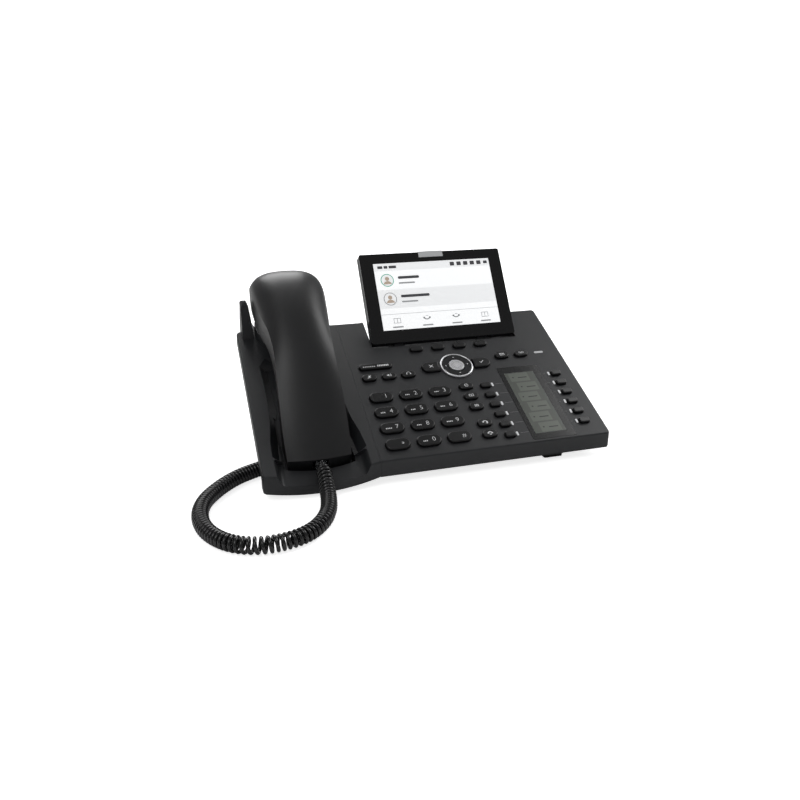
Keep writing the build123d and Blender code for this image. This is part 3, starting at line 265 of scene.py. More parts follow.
# middle of the navigation ring, across and up the sloping top
nav_low, nav_high = span("nav_button")
NAV = ((nav_low + nav_high) / 2).to_2d()
body_plastic = plastic(
    "charcoal_body", (0.0130, 0.0140, 0.0160), (0.0180, 0.0190, 0.0212), (0.40, 0.48), bump=0.18
)
base_plastic = plastic(
    "base_plastic", (0.010, 0.0104, 0.0115), (0.0135, 0.0139, 0.015), (0.52, 0.62)
)
handset_plastic = plastic(
    "handset_satin", (0.0075, 0.0078, 0.0088), (0.0105, 0.0108, 0.0118), (0.36, 0.42), 3200.0, 0.06
)
key_plastic = plastic(
    "key_black", (0.0028, 0.0029, 0.0033), (0.0046, 0.0047, 0.0053), (0.25, 0.33), 3400.0, 0.06
)
ring_plastic = plastic(
    "ring_black", (0.006, 0.006, 0.007), (0.009, 0.009, 0.010), (0.22, 0.30), 3400.0, 0.02
)
cord_plastic = plastic(
    "cord_black", (0.0035, 0.0035, 0.004), (0.0060, 0.0060, 0.0068), (0.13, 0.20), 1500.0, 0.03,
    coat=0.25,
)
feet_rubber = plastic(
    "feet_rubber", (0.012, 0.012, 0.012), (0.017, 0.017, 0.017), (0.72, 0.85), 1800.0, 0.3
)
glass_black = plastic(
    "display_black", (0.006, 0.006, 0.0065), (0.008, 0.008, 0.0085), (0.10, 0.16), 900.0, 0.0,
    specular=0.4,
)
window_black = plastic(
    "window_smoke", (0.014, 0.0145, 0.0145), (0.018, 0.0185, 0.0185), (0.12, 0.18), 900.0, 0.0
)
board_green = plastic(
    "board_green", (0.01, 0.10, 0.05), (0.012, 0.12, 0.06), (0.3, 0.4), 900.0, 0.1
)
# the capsule's own black, also used for the dark discs that paint the shade of holes and screw recesses
capsule_and_painted_hole_shade = plastic("capsule_and_painted_hole_shade", (0.02, 0.02, 0.02), (0.03, 0.03, 0.03), (0.3, 0.4))
lens_grey = lit("light_lens", (0.62, 0.63, 0.64), 0.05, 0.25)
# the white key print and the line-key lenses glow a little: painted light, since no lamp lights them
print_white_painted_glow = lit("legend_white_painted_glow", (0.82, 0.83, 0.84), 0.10)
print_grey = lit("print_grey", (0.20, 0.205, 0.21), 0.0, 0.6)
screen_white = lit("screen_white", (0.90, 0.91, 0.92), 0.62, 0.3)
screen_pale = lit("screen_pale", (0.80, 0.81, 0.82), 0.58, 0.3)
screen_grey = lit("screen_grey", (0.42, 0.43, 0.44), 0.20, 0.2)
screen_dark = lit("screen_dark", (0.10, 0.10, 0.11), 0.04, 0.2)
screen_green = lit("screen_green", (0.10, 0.55, 0.38), 0.2, 0.2)
screen_warm = lit("screen_warm", (0.62, 0.50, 0.40), 0.2, 0.2)
lcd_plate = lit("label_lcd", (0.078, 0.088, 0.074), 0.0, 0.3)
lcd_field = lit("label_field", (0.125, 0.140, 0.118), 0.0, 0.3)
lcd_ink = lit("label_ink", (0.025, 0.028, 0.024), 0.0, 0.3)
nav_metal = turned_metal("turned_metal", on_top(*NAV), 0.55, 0.95)
trim_metal = turned_metal("trim_metal", on_top(*NAV), 0.85, 0.97)
plug_clear = clear_plastic("plug_clear", (0.75, 0.78, 0.80))

# finishes of the CAD nodes, by material slot
SLOT_MATERIALS = {
    "charcoal_body": body_plastic,
    "base_plastic": base_plastic,
    "handset_plastic": handset_plastic,
    "key_plastic": key_plastic,
    "brushed_button": nav_metal,
    "display_glass": glass_black,
    "light_bar": lens_grey,
    "window": window_black,
    "lcd": lcd_plate,
    "board": board_green,
    "feet_rubber": feet_rubber,
    "capsule": capsule_and_painted_hole_shade,
    "cord_plastic": cord_plastic,
}
for subpart in frame["record"]["subparts"]:
    node = frame["nodes"][subpart["node"]]
    for place in node.material_slots:
        place.material = SLOT_MATERIALS[subpart["material_slot"]]
for place in frame["nodes"]["nav_ring"].material_slots:
    place.material = ring_plastic


# ---- outlines and plates ----
def rounded(cx, cy, wide, high, radius=0.0, steps=5):
    """Outline of a rectangle with rounded corners."""
    radius = max(min(radius, wide / 2, high / 2), 1e-6)
    points = []
    for corner, (sx, sy) in enumerate(((1, 1), (-1, 1), (-1, -1), (1, -1))):
        for step in range(steps + 1):
            angle = math.radians(90 * corner + 90 * step / steps)
            x = cx + sx * (wide / 2 - radius) + radius * math.cos(angle)
            y = cy + sy * (high / 2 - radius) + radius * math.sin(angle)
            points.append((x, y))
    return points


def disc(cx, cy, radius, steps=24):
    """Outline of a circle."""
    turn = [2 * math.pi * step / steps for step in range(steps)]
    return [(cx + radius * math.cos(a), cy + radius * math.sin(a)) for a in turn]


def stroke(start, end, width, steps=4):
    """Outline of a straight line with round ends."""
    ax, ay = start
    bx, by = end
    heading = math.atan2(by - ay, bx - ax)
    points = []
    for (x, y), first in (((bx, by), heading - math.pi / 2), ((ax, ay), heading + math.pi / 2)):
        for step in range(steps + 1):
            angle = first + math.pi * step / steps
            points.append((x + width / 2 * math.cos(angle), y + width / 2 * math.sin(angle)))
    return points


def strokes(points, width, closed=False):
    """Round-ended lines joining the points in turn."""
    ends = list(points) + ([points[0]] if closed else [])
    return [stroke(a, b, width) for a, b in zip(ends, ends[1:])]


def arc(cx, cy, radius, first, last, width, steps=8):
    """Line of a given width along a circle, between two angles in degrees."""
    angles = [math.radians(first + (last - first) * step / steps) for step in range(steps + 1)]
    return strokes([(cx + radius * math.cos(a), cy + radius * math.sin(a)) for a in angles], width)


def finish_piece(name, mesh, material, body):
    """Makes an object of a mesh and lets it ride on a body."""
    piece = bpy.data.objects.new(name, mesh)
    bpy.context.scene.collection.objects.link(piece)
    if material is not None:
        mesh.materials.clear()
        mesh.materials.append(material)
    if body:
        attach(piece, body)
    return piece


def plates(name, outlines, origin, across, up, thick, material, body):
    """Thin flat shapes lying on the plane through origin, one closed prism for each outline."""
    out = across.cross(up)
    shape = bmesh.new()
    for outline in outlines:
        low = [shape.verts.new(origin + across * x + up * y) for x, y in outline]
        high = [shape.verts.new(vert.co + out * thick) for vert in low]
        shape.faces.new(high)
        shape.faces.new(low[::-1])
        for i in range(len(low)):
            j = (i + 1) % len(low)
            shape.faces.new((low[i], low[j], high[j], high[i]))
    bmesh.ops.recalc_face_normals(shape, faces=shape.faces)
    mesh = bpy.data.meshes.new(name)
    shape.to_mesh(mesh)
    shape.free()
    return finish_piece(name, mesh, material, body)


# ---- curly handset cord ----
CORD_COIL = 10.3 * MM
CORD_WIRE = 2.3 * MM
CORD_TIGHT_PITCH = 2.5 * MM
CORD_LOOSE_PITCH = 3.5 * MM
PLUG_LEAD = 9 * MM                  # length over which the coil narrows to each plug
NARROW_END = 0.12                   # the coil's radius at a plug, of its full radius
LOOSE_PLACE = 92 * MM               # middle of the stretched turns, along the route
LOOSE_REACH = 24 * MM
# uneven winding: share of the pitch, and the length over which it comes round
WANDERS = ((0.06, 7.3 * MM), (0.04, 2.9 * MM))
# route over the desk from the front left corner of the body, as in the CAD model (mm)
CORD_ROUTE = (
    (37.5, 6.1, 19.4),
    (37.8, -3.6, 15.0),
    (37.4, -12.4, 9.3),
    (36.6, -21.0, 6.2),
    (34.2, -31.5, 5.3),
    (28.9, -43.0, 5.3),
    (19.3, -53.6, 5.3),
    (6.0, -58.9, 5.3),
    (-9.4, -59.7, 5.3),
    (-23.0, -53.9, 5.3),
    (-32.5, -43.2, 5.3),
    (-38.2, -29.5, 5.3),
    (-39.3, -13.8, 5.3),
    (-35.6, 1.2, 5.3),
    (-26.2, 15.6, 5.3),
    (-14.8, 27.6, 5.3),
    (-3.0, 34.6, 5.3),
    (10.5, 40.0, 5.5),
    (23.5, 46.5, 8.6),
    (36.0, 52.5, 14.4),
    (47.5, 56.0, 19.8),
    (58.5, 57.0, 23.2),
    (69.4, 57.1, 24.0),
)
route = [Vector((LEFT + x * MM, FRONT + y * MM, z * MM)) for x, y, z in CORD_ROUTE]


def smooth_line(points):
    """Points along the NURBS spline of a route."""
    curve = bpy.data.curves.new("cord_route", "CURVE")
    curve.dimensions = "3D"
    curve.resolution_u = 24
    spline = curve.splines.new("NURBS")
    spline.points.add(len(points) - 1)
    for knot, point in zip(spline.points, points):
        knot.co = (*point, 1)
    spline.order_u = 3
    spline.use_endpoint_u = True
    holder = bpy.data.objects.new("cord_route", curve)
    mesh = bpy.data.meshes.new_from_object(holder)
    line = [vertex.co.copy() for vertex in mesh.vertices]
    bpy.data.objects.remove(holder)
    return line


def helix(line, radius, steps=14):
    """Points of a coil wound about a line, looser at the front of its loop, with narrow ends."""
    lengths = [0.0]
    for a, b in zip(line, line[1:]):
        lengths.append(lengths[-1] + (b - a).length)
    total = lengths[-1]
    side = Vector((0, 0, 1)).cross(line[1] - line[0]).normalized()
    points = []
    piece = 0
    along = 0.0
    turn = 0.0
    while along < total:
        while piece < len(line) - 2 and lengths[piece + 1] < along:
            piece += 1
        a, b = line[piece], line[piece + 1]
        share = (along - lengths[piece]) / (lengths[piece + 1] - lengths[piece])
        heading = (b - a).normalized()
        side = (side - heading * side.dot(heading)).normalized()
        other = heading.cross(side)
        lead = min(1.0, along / PLUG_LEAD, (total - along) / PLUG_LEAD)
        reach = radius * (NARROW_END + (1 - NARROW_END) * lead * lead * (3 - 2 * lead))
        points.append(a.lerp(b, share) + (side * math.cos(turn) + other * math.sin(turn)) * reach)
        loose = math.exp(-(((along - LOOSE_PLACE) / LOOSE_REACH) ** 2))
        wander = sum(share_of * math.sin(along / period) for share_of, period in WANDERS)
        pitch = (CORD_TIGHT_PITCH + (CORD_LOOSE_PITCH - CORD_TIGHT_PITCH) * loose) * (1 + wander)
        along += pitch / steps
        turn += 2 * math.pi / steps
    return points


def tube(name, line, radius, sides, material, body):
    """Round tube along points, closed at both ends."""
    shape = bmesh.new()
    rings = []
    side = (line[1] - line[0]).orthogonal().normalized()
    for index, point in enumerate(line):
        before = line[max(index - 1, 0)]
        after = line[min(index + 1, len(line) - 1)]
        heading = (after - before).normalized()
        side = (side - heading * side.dot(heading)).normalized()
        other = heading.cross(side)
        ring = []
        for step in range(sides):
            angle = 2 * math.pi * step / sides
            out = side * math.cos(angle) + other * math.sin(angle)
            ring.append(shape.verts.new(point + out * radius))
        rings.append(ring)
    for low, high in zip(rings, rings[1:]):
        for i in range(sides):
            j = (i + 1) % sides
            shape.faces.new((low[i], low[j], high[j], high[i]))
    shape.faces.new(rings[0][::-1])
    shape.faces.new(rings[-1])
    for face in shape.faces:
        face.smooth = True
    mesh = bpy.data.meshes.new(name)
    shape.to_mesh(mesh)
    shape.free()
    return finish_piece(name, mesh, material, body)


coil_line = helix(smooth_line(route), (CORD_COIL - CORD_WIRE) / 2)
RESTING_POINT = route[4]            # from here on the coil lies on the desk
meeting = min(range(len(coil_line) // 3), key=lambda i: abs(coil_line[i].y - RESTING_POINT.y))


def coil_piece(name, line, body=None):
    """A stretch of the coil, as a round tube of the cord's wire."""
    piece = tube(name, line, CORD_WIRE / 2, 10, cord_plastic, body)
    return piece


resting_coil = coil_piece("handset_cord_coil", coil_line[meeting:][::-1], "root")
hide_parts("handset_cord")
rising_coil = coil_piece("handset_cord_lead", coil_line[: meeting + 1])
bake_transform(rising_coil)


# ---- legends on the keys ----
PRINT = 0.05 * MM                   # thickness of printed shapes
PRINT_SUNK = 0.02 * MM              # how far they start inside the key


def key_face(node):
    """Middle of a key's top face, and its height above the cover."""
    low, high = span(node)
    return (low.x + high.x) / 2, (low.y + high.y) / 2, high.z - TOP


def legend(node, outlines):
    """Printed shapes, in millimetres from the middle of the key's face."""
    u, v, w = key_face(node)
    origin = on_top(u, v, w - PRINT_SUNK)
    scaled = [[(x * MM, y * MM) for x, y in outline] for outline in outlines]
    plates(f"{node}_legend", scaled, origin, RIGHT, SLOPE, PRINT, print_white_painted_glow, node)


DIGIT_SIZE = 5.2 * MM
DIGIT_THINNING = -0.09 * MM         # makes the strokes a little lighter
DIGIT_ASIDE = 3.3 * MM              # digits stand right of the key's middle
STAR_LOWER = 1.0 * MM               # the star sits high on its line
# small marks left of the digit, in mm: pitch, place, and how far left each more one moves them
TICK_PITCH, TICK_LEFT, TICK_SHIFT = 1.15, -3.2, 0.275
DIAL_SIGNS = {"star": "*", "hash": "#"}
TICKS_ON_KEY = {"1": 0, "star": 0, "hash": 0, "7": 4, "9": 4}


def character(name, text, size, u, v, w, body):
    """One generic digit or sign, as a thin raised shape on a key."""
    curve = bpy.data.curves.new(name, "FONT")
    curve.body = text
    curve.size = size
    curve.extrude = PRINT / 2
    curve.offset = DIGIT_THINNING
    curve.resolution_u = 4
    curve.align_x = "CENTER"
    curve.align_y = "CENTER"
    holder = bpy.data.objects.new(name, curve)
    bpy.context.scene.collection.objects.link(holder)
    bpy.context.view_layer.update()
    mesh = bpy.data.meshes.new_from_object(holder)
    bpy.data.objects.remove(holder)
    turn = Matrix((RIGHT, SLOPE, NORMAL)).transposed().to_4x4()
    mesh.transform(Matrix.Translation(on_top(u, v, w)) @ turn)
    finish_piece(name, mesh, print_white_painted_glow, body)


for sign in ("1", "2", "3", "4", "5", "6", "7", "8", "9", "star", "0", "hash"):
    node = f"dial_key_{sign}"
    u, v, w = key_face(node)
    if sign == "star":
        v -= STAR_LOWER
    character(f"{node}_sign", DIAL_SIGNS.get(sign, sign), DIGIT_SIZE, u + DIGIT_ASIDE, v, w, node)
    count = TICKS_ON_KEY.get(sign, 3)
    first = TICK_LEFT - TICK_SHIFT * count
    ticks = [rounded(first + TICK_PITCH * i, -0.9, 0.7, 0.9, 0.1) for i in range(count)]
    if ticks:
        legend(node, ticks)

# signs on the keys, in millimetres from the middle of each key's face
HANDSET_SIGN = arc(0, -0.5, 1.5, 30, 150, 0.75) + [disc(-1.4, 0.0, 0.62), disc(1.4, 0.0, 0.62)]
KEY_ICONS = {
    "mute_key": strokes([(0, 0.9), (0, -0.1)], 1.0)
    + arc(0, 0, 1.0, 200, 340, 0.3)
    + strokes([(-1.3, -1.3), (1.3, 1.3)], 0.32),
    "speaker_key": [[(-1.6, -0.5), (-0.8, -0.5), (0, -1.2), (0, 1.2), (-0.8, 0.5), (-1.6, 0.5)]]
    + arc(0, 0, 0.9, -45, 45, 0.3)
    + arc(0, 0, 1.6, -45, 45, 0.3),
    "headset_key": arc(0, 0, 1.4, 0, 180, 0.36)
    + [rounded(x, -0.5, 0.7, 1.1, 0.3) for x in (-1.4, 1.4)],
    "do_not_disturb_key": arc(0, 0, 1.3, 0, 360, 0.34, 20)
    + strokes([(-0.6, 0), (0.6, 0)], 0.42),
    "directory_key": strokes(
        [(0, -1), (-1.6, -0.8), (-1.6, 1), (0, 0.8), (1.6, 1), (1.6, -0.8)], 0.32, True
    )
    + strokes([(0, -1), (0, 0.8)], 0.32),
    "menu_key": [rounded(x, y, 0.75, 0.75, 0.15) for x in (-1.1, 0, 1.1) for y in (-0.6, 0.6)],
    "transfer_key": HANDSET_SIGN
    + strokes([(0.2, -1.2), (1.8, -1.2)], 0.3)
    + strokes([(1.2, -0.7), (1.8, -1.2), (1.2, -1.7)], 0.3),
    "hold_key": HANDSET_SIGN + [rounded(x, -1.2, 0.35, 1.1, 0.1) for x in (-0.4, 0.4)],
    "message_key": strokes([(-1.7, -1), (1.7, -1), (1.7, 1), (-1.7, 1)], 0.32, True)
    + strokes([(-1.6, 0.9), (0, -0.2), (1.6, 0.9)], 0.3),
    "voicemail_key": arc(-1.1, 0.1, 0.75, 0, 360, 0.32, 14)
    + arc(1.1, 0.1, 0.75, 0, 360, 0.32, 14)
    + strokes([(-1.1, -0.65), (1.1, -0.65)], 0.32),
    "cancel_key": strokes([(-1.3, -1.2), (1.3, 1.2)], 0.4)
    + strokes([(-1.3, 1.2), (1.3, -1.2)], 0.4),
    "confirm_key": strokes([(-1.4, 0.0), (-0.4, -1.0), (1.5, 1.2)], 0.42),
    "volume_rocker": [rounded(-9.2 + 1.35 * i, -0.7, 0.55, 0.9, 0.1) for i in range(7)]
    + [rounded(1.6 + 1.25 * i, -0.3, 0.75, 1.7, 0.15) for i in range(7)],
}
for node, outlines in KEY_ICONS.items():
    legend(node, outlines)

# small arrows on the navigation ring
ARROW_TIP, ARROW_BACK, ARROW_HALF = 8.9, 8.2, 0.8     # mm, from the ring's middle
arrows = []
for quarter in range(4):
    across, up = math.cos(math.pi / 2 * quarter), math.sin(math.pi / 2 * quarter)
    corners = ((ARROW_TIP, 0), (ARROW_BACK, ARROW_HALF), (ARROW_BACK, -ARROW_HALF))
    arrows.append([(out * across - side * up, out * up + side * across) for out, side in corners])
legend("nav_ring", arrows)


# ---- trim on the main cover ----
def lathe_ring(name, centre, section, material, body, steps=72):
    """Ring turned about the top's normal; section is (radius, height) points, closed."""
    shape = bmesh.new()
    loops = []
    for step in range(steps):
        angle = 2 * math.pi * step / steps
        out = RIGHT * math.cos(angle) + SLOPE * math.sin(angle)
        loops.append([shape.verts.new(centre + out * r + NORMAL * h) for r, h in section])
    for low, high in zip(loops, loops[1:] + loops[:1]):
        for i in range(len(section)):
            j = (i + 1) % len(section)
            shape.faces.new((low[i], low[j], high[j], high[i]))
    bmesh.ops.recalc_face_normals(shape, faces=shape.faces)
    for face in shape.faces:
        face.smooth = True
    mesh = bpy.data.meshes.new(name)
    shape.to_mesh(mesh)
    shape.free()
    return finish_piece(name, mesh, material, body)


# radius and height of the trim's corners, in mm
TRIM_SECTION = ((11.3, 0.0), (11.3, 1.3), (11.5, 1.6), (12.1, 1.6), (12.45, 1.3), (12.6, 0.0))
trim_section = [(r * MM, h * MM) for r, h in TRIM_SECTION]
lathe_ring("navigation_trim", on_top(*NAV), trim_section, trim_metal, "root")

# a light beside each line key, and a fine printed line from it to the label display
LINE_KEYS_IN_COLUMN = 6
LIGHT_ASIDE, LIGHT_UP = 5.5 * MM, 0.4 * MM
LIGHT_WIDE, LIGHT_HIGH = 1.3 * MM, 3.4 * MM
TICK_ASIDE, TICK_UP = 8.2 * MM, 1.0 * MM
TICK_HIGH = 0.25 * MM
TICK_GAP = 0.6 * MM                 # left free before the display's window
window_low, window_high = span("label_window")
lights = []
ticks = []
for number in range(1, 2 * LINE_KEYS_IN_COLUMN + 1):
    u, v, _ = key_face(f"line_key_{number}")
    left_column = number <= LINE_KEYS_IN_COLUMN
    toward = 1 if left_column else -1
    lights.append(
        rounded(u + toward * LIGHT_ASIDE, v + LIGHT_UP, LIGHT_WIDE, LIGHT_HIGH, 0.4 * MM)
    )
    start = u + toward * TICK_ASIDE
    end = window_low.x - TICK_GAP if left_column else window_high.x + TICK_GAP
    ticks.append(rounded((start + end) / 2, v + TICK_UP, abs(end - start), TICK_HIGH))
TOP_ORIGIN = NORMAL * TOP
plates("line_lights", lights, TOP_ORIGIN, RIGHT, SLOPE, 0.5 * MM, print_white_painted_glow, "root")
plates("line_ticks", ticks, TOP_ORIGIN, RIGHT, SLOPE, 0.04 * MM, print_grey, "root")
CALL_LIGHT_ASIDE, CALL_LIGHT_UP = 15.2 * MM, 0.4 * MM
CALL_LIGHT_WIDE, CALL_LIGHT_HIGH = 7.4 * MM, 2.0 * MM
u, v, _ = key_face("voicemail_key")
u, v = u + CALL_LIGHT_ASIDE, v + CALL_LIGHT_UP
call_light = [rounded(u, v, CALL_LIGHT_WIDE, CALL_LIGHT_HIGH, 0.9 * MM)]
plates(
    "call_light", call_light, TOP_ORIGIN, RIGHT, SLOPE, 0.35 * MM, lens_grey, "root"
)

# label display: plate, fields and marks, one layer on the other
LCD_MARGINS = (3.6 * MM, 5.8 * MM, 5.4 * MM, 6.4 * MM)      # left, right, front and rear
LCD_ROWS = 6
LAYER = 0.02 * MM
lcd_left, lcd_right = window_low.x + LCD_MARGINS[0], window_high.x - LCD_MARGINS[1]
lcd_front, lcd_rear = window_low.y + LCD_MARGINS[2], window_high.y - LCD_MARGINS[3]
lcd_middle = (lcd_left + lcd_right) / 2
lcd_wide, lcd_high = lcd_right - lcd_left, lcd_rear - lcd_front
half = lcd_wide / 2
row_high = lcd_high / LCD_ROWS
fields = []
marks = []
for row in range(LCD_ROWS):
    v = lcd_front + (row + 0.5) * row_high
    u = lcd_middle + (-0.125 if row % 2 else 0.125) * half
    fields.append(rounded(u, v, half * 1.3, row_high * 0.86, 0.3 * MM))
    marks.append(rounded(u + half * 0.2, v - 0.5 * MM, half * 0.6, 0.9 * MM, 0.3 * MM))
    marks.append(rounded(u - half * 0.42, v, 1.2 * MM, 1.2 * MM, 0.3 * MM))
plate = [rounded(lcd_middle, (lcd_front + lcd_rear) / 2, lcd_wide, lcd_high)]
label_layers = (
    ("label_screen", plate, lcd_plate),
    ("label_fields", fields, lcd_field),
    ("label_marks", marks, lcd_ink),
)
for layer, (name, outlines, material) in enumerate(label_layers):
    origin = NORMAL * (TOP + WINDOW_PROUD + layer * LAYER)
    plates(name, outlines, origin, RIGHT, SLOPE, LAYER, material, "root")


# ---- picture on the tilting display ----
GLASS_RISE = math.radians(56.4)     # of the display glass from level, at rest
DISPLAY_UP = Vector((0, math.cos(GLASS_RISE), math.sin(GLASS_RISE)))
DISPLAY_OUT = RIGHT.cross(DISPLAY_UP)
out_low, out_high = span("display_glass", (RIGHT, DISPLAY_UP, DISPLAY_OUT))
glass_corner = RIGHT * out_low.x + DISPLAY_UP * out_low.y + DISPLAY_OUT * out_high.z
SCREEN_LEFT, SCREEN_BOTTOM = 10.2, 9.9      # mm, from the glass's lower left corner
SCREEN_WIDE, SCREEN_HIGH = 95.04, 53.86     # mm


def screen(name, outlines, layer, material):
    """Shapes of the screen picture, in millimetres from its lower left corner."""
    origin = glass_corner + DISPLAY_OUT * (layer * LAYER)
    moved = [
        [((SCREEN_LEFT + x) * MM, (SCREEN_BOTTOM + y) * MM) for x, y in outline]
        for outline in outlines
    ]
    plates(name, moved, origin, RIGHT, DISPLAY_UP, LAYER, material, "display")


def bar(x, y, wide, high, radius=0.0):
    """Rectangle from its lower left corner."""
    return rounded(x + wide / 2, y + high / 2, wide, high, radius)


STATUS_HIGH, FOOTER_HIGH, ROW_HIGH = 6.2, 12.4, 15.2
FOOTER_PARTS = 4
NAME_LEFT = 18
status_y = SCREEN_HIGH - STATUS_HIGH
row_1_y = status_y - ROW_HIGH
row_2_y = row_1_y - ROW_HIGH
footer_middles = [SCREEN_WIDE / FOOTER_PARTS * (i + 0.5) for i in range(FOOTER_PARTS)]
screen("screen_background", [bar(0, 0, SCREEN_WIDE, SCREEN_HIGH)], 0, screen_white)
screen(
    "screen_bands",
    [bar(0, status_y, SCREEN_WIDE, STATUS_HIGH), bar(0, row_2_y, SCREEN_WIDE, ROW_HIGH)],
    1, screen_pale,
)
status = [bar(x, status_y + 2.0, wide, 2.2, 0.4) for x, wide in ((3, 4.0), (8, 3.0), (12, 6.0))]
status += [bar(62 + 5.6 * i, status_y + 1.5, 3.6, 3.2, 0.5) for i in range(5)]
status += [bar(90.2, status_y + 1.9, 3.2, 2.4, 0.3)]
names = [bar(NAME_LEFT, y + 8.2, wide, 2.2, 0.8) for y, wide in ((row_1_y, 17), (row_2_y, 23))]
screen("screen_text", status + names, 2, screen_dark)
screen(
    "screen_subtext",
    [bar(NAME_LEFT, y + 4.2, 13, 1.3, 0.5) for y in (row_1_y, row_2_y)]
    + [bar(x - 4.2, 1.6, 8.4, 1.1, 0.4) for x in footer_middles]
    + [bar(0, FOOTER_HIGH, SCREEN_WIDE, 0.25)],
    2, screen_grey,
)
footer = []
for i, x in enumerate(footer_middles):
    y = 7.2
    left, right, low, high = x - 2.6, x + 2.6, y - 1.8, y + 1.8
    if i in (0, 3):
        footer += strokes([(left, low), (left, high), (right, high), (right, low)], 0.4, True)
        footer += strokes([(x, low), (x, high)], 0.4)
    else:
        footer += arc(x, y + 2.2, 2.6, 205, 335, 0.8)
        footer += [disc(x - 2.3, y + 0.9, 0.8), disc(x + 2.3, y + 0.9, 0.8)]
        footer += strokes([(x - 0.6, y + 2.3), (x + 1.2, y + 2.3)], 0.4)
screen("screen_footer_icons", footer, 2, screen_grey)
# a plain head and shoulders sign in each row
for row_y, tone, label in ((row_1_y, screen_green, "first"), (row_2_y, screen_grey, "second")):
    x, y = NAME_LEFT - 8.8, row_y + ROW_HIGH / 2
    screen(f"screen_{label}_ring", [disc(x, y, 5.2, 40)], 2, tone)
    screen(f"screen_{label}_face", [disc(x, y, 4.6, 40)], 3, screen_pale)
    turns = [math.pi * k / 12 for k in range(13)]
    shoulders = [(x + 3.2 * math.cos(a), y - 3.2 + 2.6 * math.sin(a)) for a in turns]
    screen(f"screen_{label}_head", [disc(x, y + 1.2, 1.7, 24), shoulders], 4, screen_warm)


# ---- repeated small details ----
STUD_SIDES = 16


def studs_tree():
    """Short round studs standing on points: radius, height, facing and finish are inputs."""
    tree = bpy.data.node_groups.new("round_studs", "GeometryNodeTree")
    tree.interface.new_socket("Geometry", in_out="INPUT", socket_type="NodeSocketGeometry")
    for label, kind in (
        ("Radius", "NodeSocketFloat"),
        ("Height", "NodeSocketFloat"),
        ("Facing", "NodeSocketVector"),
        ("Finish", "NodeSocketMaterial"),
    ):
        tree.interface.new_socket(label, in_out="INPUT", socket_type=kind)
    tree.interface.new_socket("Geometry", in_out="OUTPUT", socket_type="NodeSocketGeometry")
    given = tree.nodes.new("NodeGroupInput")
    result = tree.nodes.new("NodeGroupOutput")
    stud = tree.nodes.new("GeometryNodeMeshCylinder")
    stud.inputs["Vertices"].default_value = STUD_SIDES
    turn = tree.nodes.new("FunctionNodeAlignRotationToVector")
    turn.axis = "Z"
    spread = tree.nodes.new("GeometryNodeInstanceOnPoints")
    real = tree.nodes.new("GeometryNodeRealizeInstances")
    paint = tree.nodes.new("GeometryNodeSetMaterial")
    link = tree.links.new
    link(given.outputs["Radius"], stud.inputs["Radius"])
    link(given.outputs["Height"], stud.inputs["Depth"])
    link(given.outputs["Facing"], turn.inputs["Vector"])
    link(given.outputs["Geometry"], spread.inputs["Points"])
    link(stud.outputs["Mesh"], spread.inputs["Instance"])
    link(turn.outputs["Rotation"], spread.inputs["Rotation"])
    link(spread.outputs["Instances"], real.inputs["Geometry"])
    link(real.outputs["Geometry"], paint.inputs["Geometry"])
    link(given.outputs["Finish"], paint.inputs["Material"])
    link(paint.outputs["Geometry"], result.inputs["Geometry"])
    return tree


STUDS = studs_tree()


def studs(name, points, radius, height, facing, material, body):
    """Round studs at the points, as one plain mesh."""
    mesh = bpy.data.meshes.new(name)
    mesh.from_pydata([tuple(point) for point in points], [], [])
    holder = bpy.data.objects.new(name, mesh)
    bpy.context.scene.collection.objects.link(holder)
    grow = holder.modifiers.new("studs", "NODES")
    grow.node_group = STUDS
    values = {"Radius": radius, "Height": height, "Facing": tuple(facing), "Finish": material}
    for item in STUDS.interface.items_tree:
        if item.name in values:
            grow[item.identifier] = values[item.name]
    bpy.context.view_layer.update()
    grown = holder.evaluated_get(bpy.context.evaluated_depsgraph_get())
    result = bpy.data.meshes.new_from_object(grown)
    bpy.data.objects.remove(holder)
    return finish_piece(name, result, None, body)


# places under the handset and the body, in mm from the top's front left corner
GRIP_MIDDLE = 37.5                  # the handset's middle line
EAR_UP, EAR_UNDER = 136.0, 4.98
EAR_RINGS = ((3.0, 6), (6.0, 12), (9.0, 18))      # radius, and holes round it
MIC_UP, MIC_UNDER = 30.0, -13.42
MIC_PITCH = 2.4
HOLE_RADIUS, HOLE_HIGH = 0.6 * MM, 0.1 * MM
BELLY = -24.0
SCREW_PLACES = [(u, v) for u in (78.0, 221.0) for v in (40.0, 76.0)]

ear_points = [body_place(GRIP_MIDDLE, EAR_UP, EAR_UNDER)]
for ring, count in EAR_RINGS:
    for turn in [2 * math.pi * step / count for step in range(count)]:
        u, v = GRIP_MIDDLE + ring * math.cos(turn), EAR_UP + ring * math.sin(turn)
        ear_points.append(body_place(u, v, EAR_UNDER))
mic_points = [body_place(GRIP_MIDDLE + MIC_PITCH * i, MIC_UP, MIC_UNDER) for i in range(-2, 3)]
# the holes are thin black discs, not openings: the dark capsule behind them and painted shade in the holes
for name, points in (("earpiece_holes", ear_points), ("microphone_holes", mic_points)):
    studs(name, points, HOLE_RADIUS, HOLE_HIGH, NORMAL, capsule_and_painted_hole_shade, "handset")

screw_points = [body_place(u, v, BELLY) for u, v in SCREW_PLACES]
screw_steel = turned_metal("screw_steel", Vector((0, 0, 0)), 0.25, 0.45)
studs("base_screws", screw_points, 2.6 * MM, 0.8 * MM, NORMAL, screw_steel, "root")
# a thin black disc on each screw head stands for its drive recess: painted shade
recess_shade_points = [point - NORMAL * 0.42 * MM for point in screw_points]
studs("base_screw_recess_shade", recess_shade_points, 1.1 * MM, HOLE_HIGH, NORMAL, capsule_and_painted_hole_shade, "root")

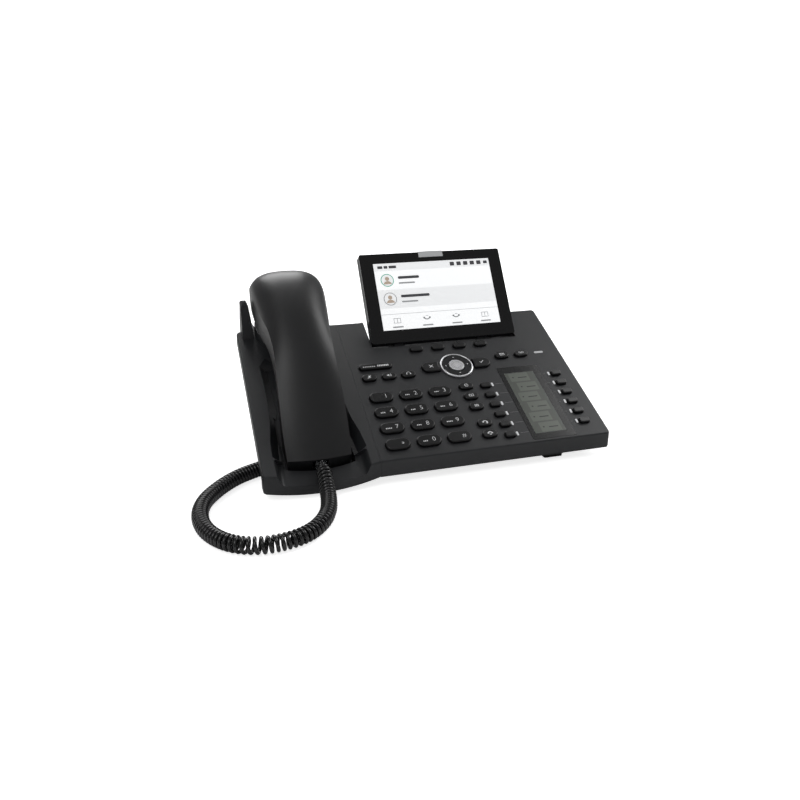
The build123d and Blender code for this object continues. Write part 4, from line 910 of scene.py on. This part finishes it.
# blank plate under the body, and the clear plug of the handset cord
plates(
    "blank_rating_plate",
    [rounded(0, 0, 52 * MM, 24 * MM, 2 * MM)],
    body_place(150.0, 48.0, BELLY),
    -RIGHT, SLOPE, 0.15 * MM, print_grey, "root",
)
plates(
    "handset_plug",
    [rounded(0, 0, 6.2 * MM, 5.0 * MM, 0.7 * MM)],
    body_place(GRIP_MIDDLE, 5.2, -3.9),
    -RIGHT, NORMAL, 8.0 * MM, plug_clear, "handset",
)


# ---- floor and light ----
FLOOR_SIZE = 60.0
FLOOR_GLOW = 0.78                   # seen by the camera only, so the floor stays pale
AMBIENT, BACKDROP = 0.26, 1.3       # the world's strength as light, and as seen


def flat_sheet(name, centre, size, material):
    """A level square that belongs to the stage."""
    mesh = bpy.data.meshes.new(name)
    half = size / 2
    corners = [(-half, -half), (half, -half), (half, half), (-half, half)]
    points = [(centre[0] + x, centre[1] + y, centre[2]) for x, y in corners]
    mesh.from_pydata(points, [], [(0, 1, 2, 3)])
    mesh.materials.append(material)
    sheet = bpy.data.objects.new(name, mesh)
    bpy.context.scene.collection.objects.link(sheet)


floor_white, floor_nodes, floor_link, floor_shader = new_material("floor_white")
floor_shader.inputs["Base Color"].default_value = (0.90, 0.90, 0.90, 1)
floor_shader.inputs["Roughness"].default_value = 1.0
floor_shader.inputs["Specular IOR Level"].default_value = 0.0
floor_shader.inputs["Emission Color"].default_value = (1, 1, 1, 1)
floor_seen = floor_nodes.new("ShaderNodeLightPath")
floor_glow = floor_nodes.new("ShaderNodeMapRange")
floor_glow.inputs["To Min"].default_value = 0.0
floor_glow.inputs["To Max"].default_value = FLOOR_GLOW
floor_link(floor_seen.outputs["Is Camera Ray"], floor_glow.inputs["Value"])
floor_link(floor_glow.outputs["Result"], floor_shader.inputs["Emission Strength"])
flat_sheet("floor", (0, 0, -0.2 * MM), FLOOR_SIZE, floor_white)

world = bpy.data.worlds.new("studio")
bpy.context.scene.world = world
world.use_nodes = True
sky = world.node_tree.nodes["Background"]
seen = world.node_tree.nodes.new("ShaderNodeLightPath")
strength = world.node_tree.nodes.new("ShaderNodeMapRange")
strength.inputs["To Min"].default_value = AMBIENT
strength.inputs["To Max"].default_value = BACKDROP
world.node_tree.links.new(seen.outputs["Is Camera Ray"], strength.inputs["Value"])
world.node_tree.links.new(strength.outputs["Result"], sky.inputs["Strength"])
sky.inputs["Color"].default_value = (1, 1, 1, 1)
bpy.context.scene.view_settings.view_transform = "Standard"


def soft_light(name, place, aim, size, power):
    """A square area light at a place, turned towards its aim."""
    lamp = bpy.data.lights.new(name, "AREA")
    lamp.shape = "SQUARE"
    lamp.size = size
    lamp.energy = power
    holder = bpy.data.objects.new(name, lamp)
    bpy.context.scene.collection.objects.link(holder)
    holder.location = place
    holder.rotation_euler = (Vector(aim) - Vector(place)).to_track_quat("-Z", "Y").to_euler()


# name, place, aim, side in metres and power in watts
soft_light("rear_light", (-0.1, 1.5, 1.25), (0, 0, 0.05), 1.2, 17)
soft_light("key_light", (-1.0, -0.9, 1.7), (0, 0, 0.04), 1.0, 8)
soft_light("right_light", (1.3, 0.3, 1.2), (0, 0, 0.05), 0.9, 9)

bpy.context.view_layer.update()
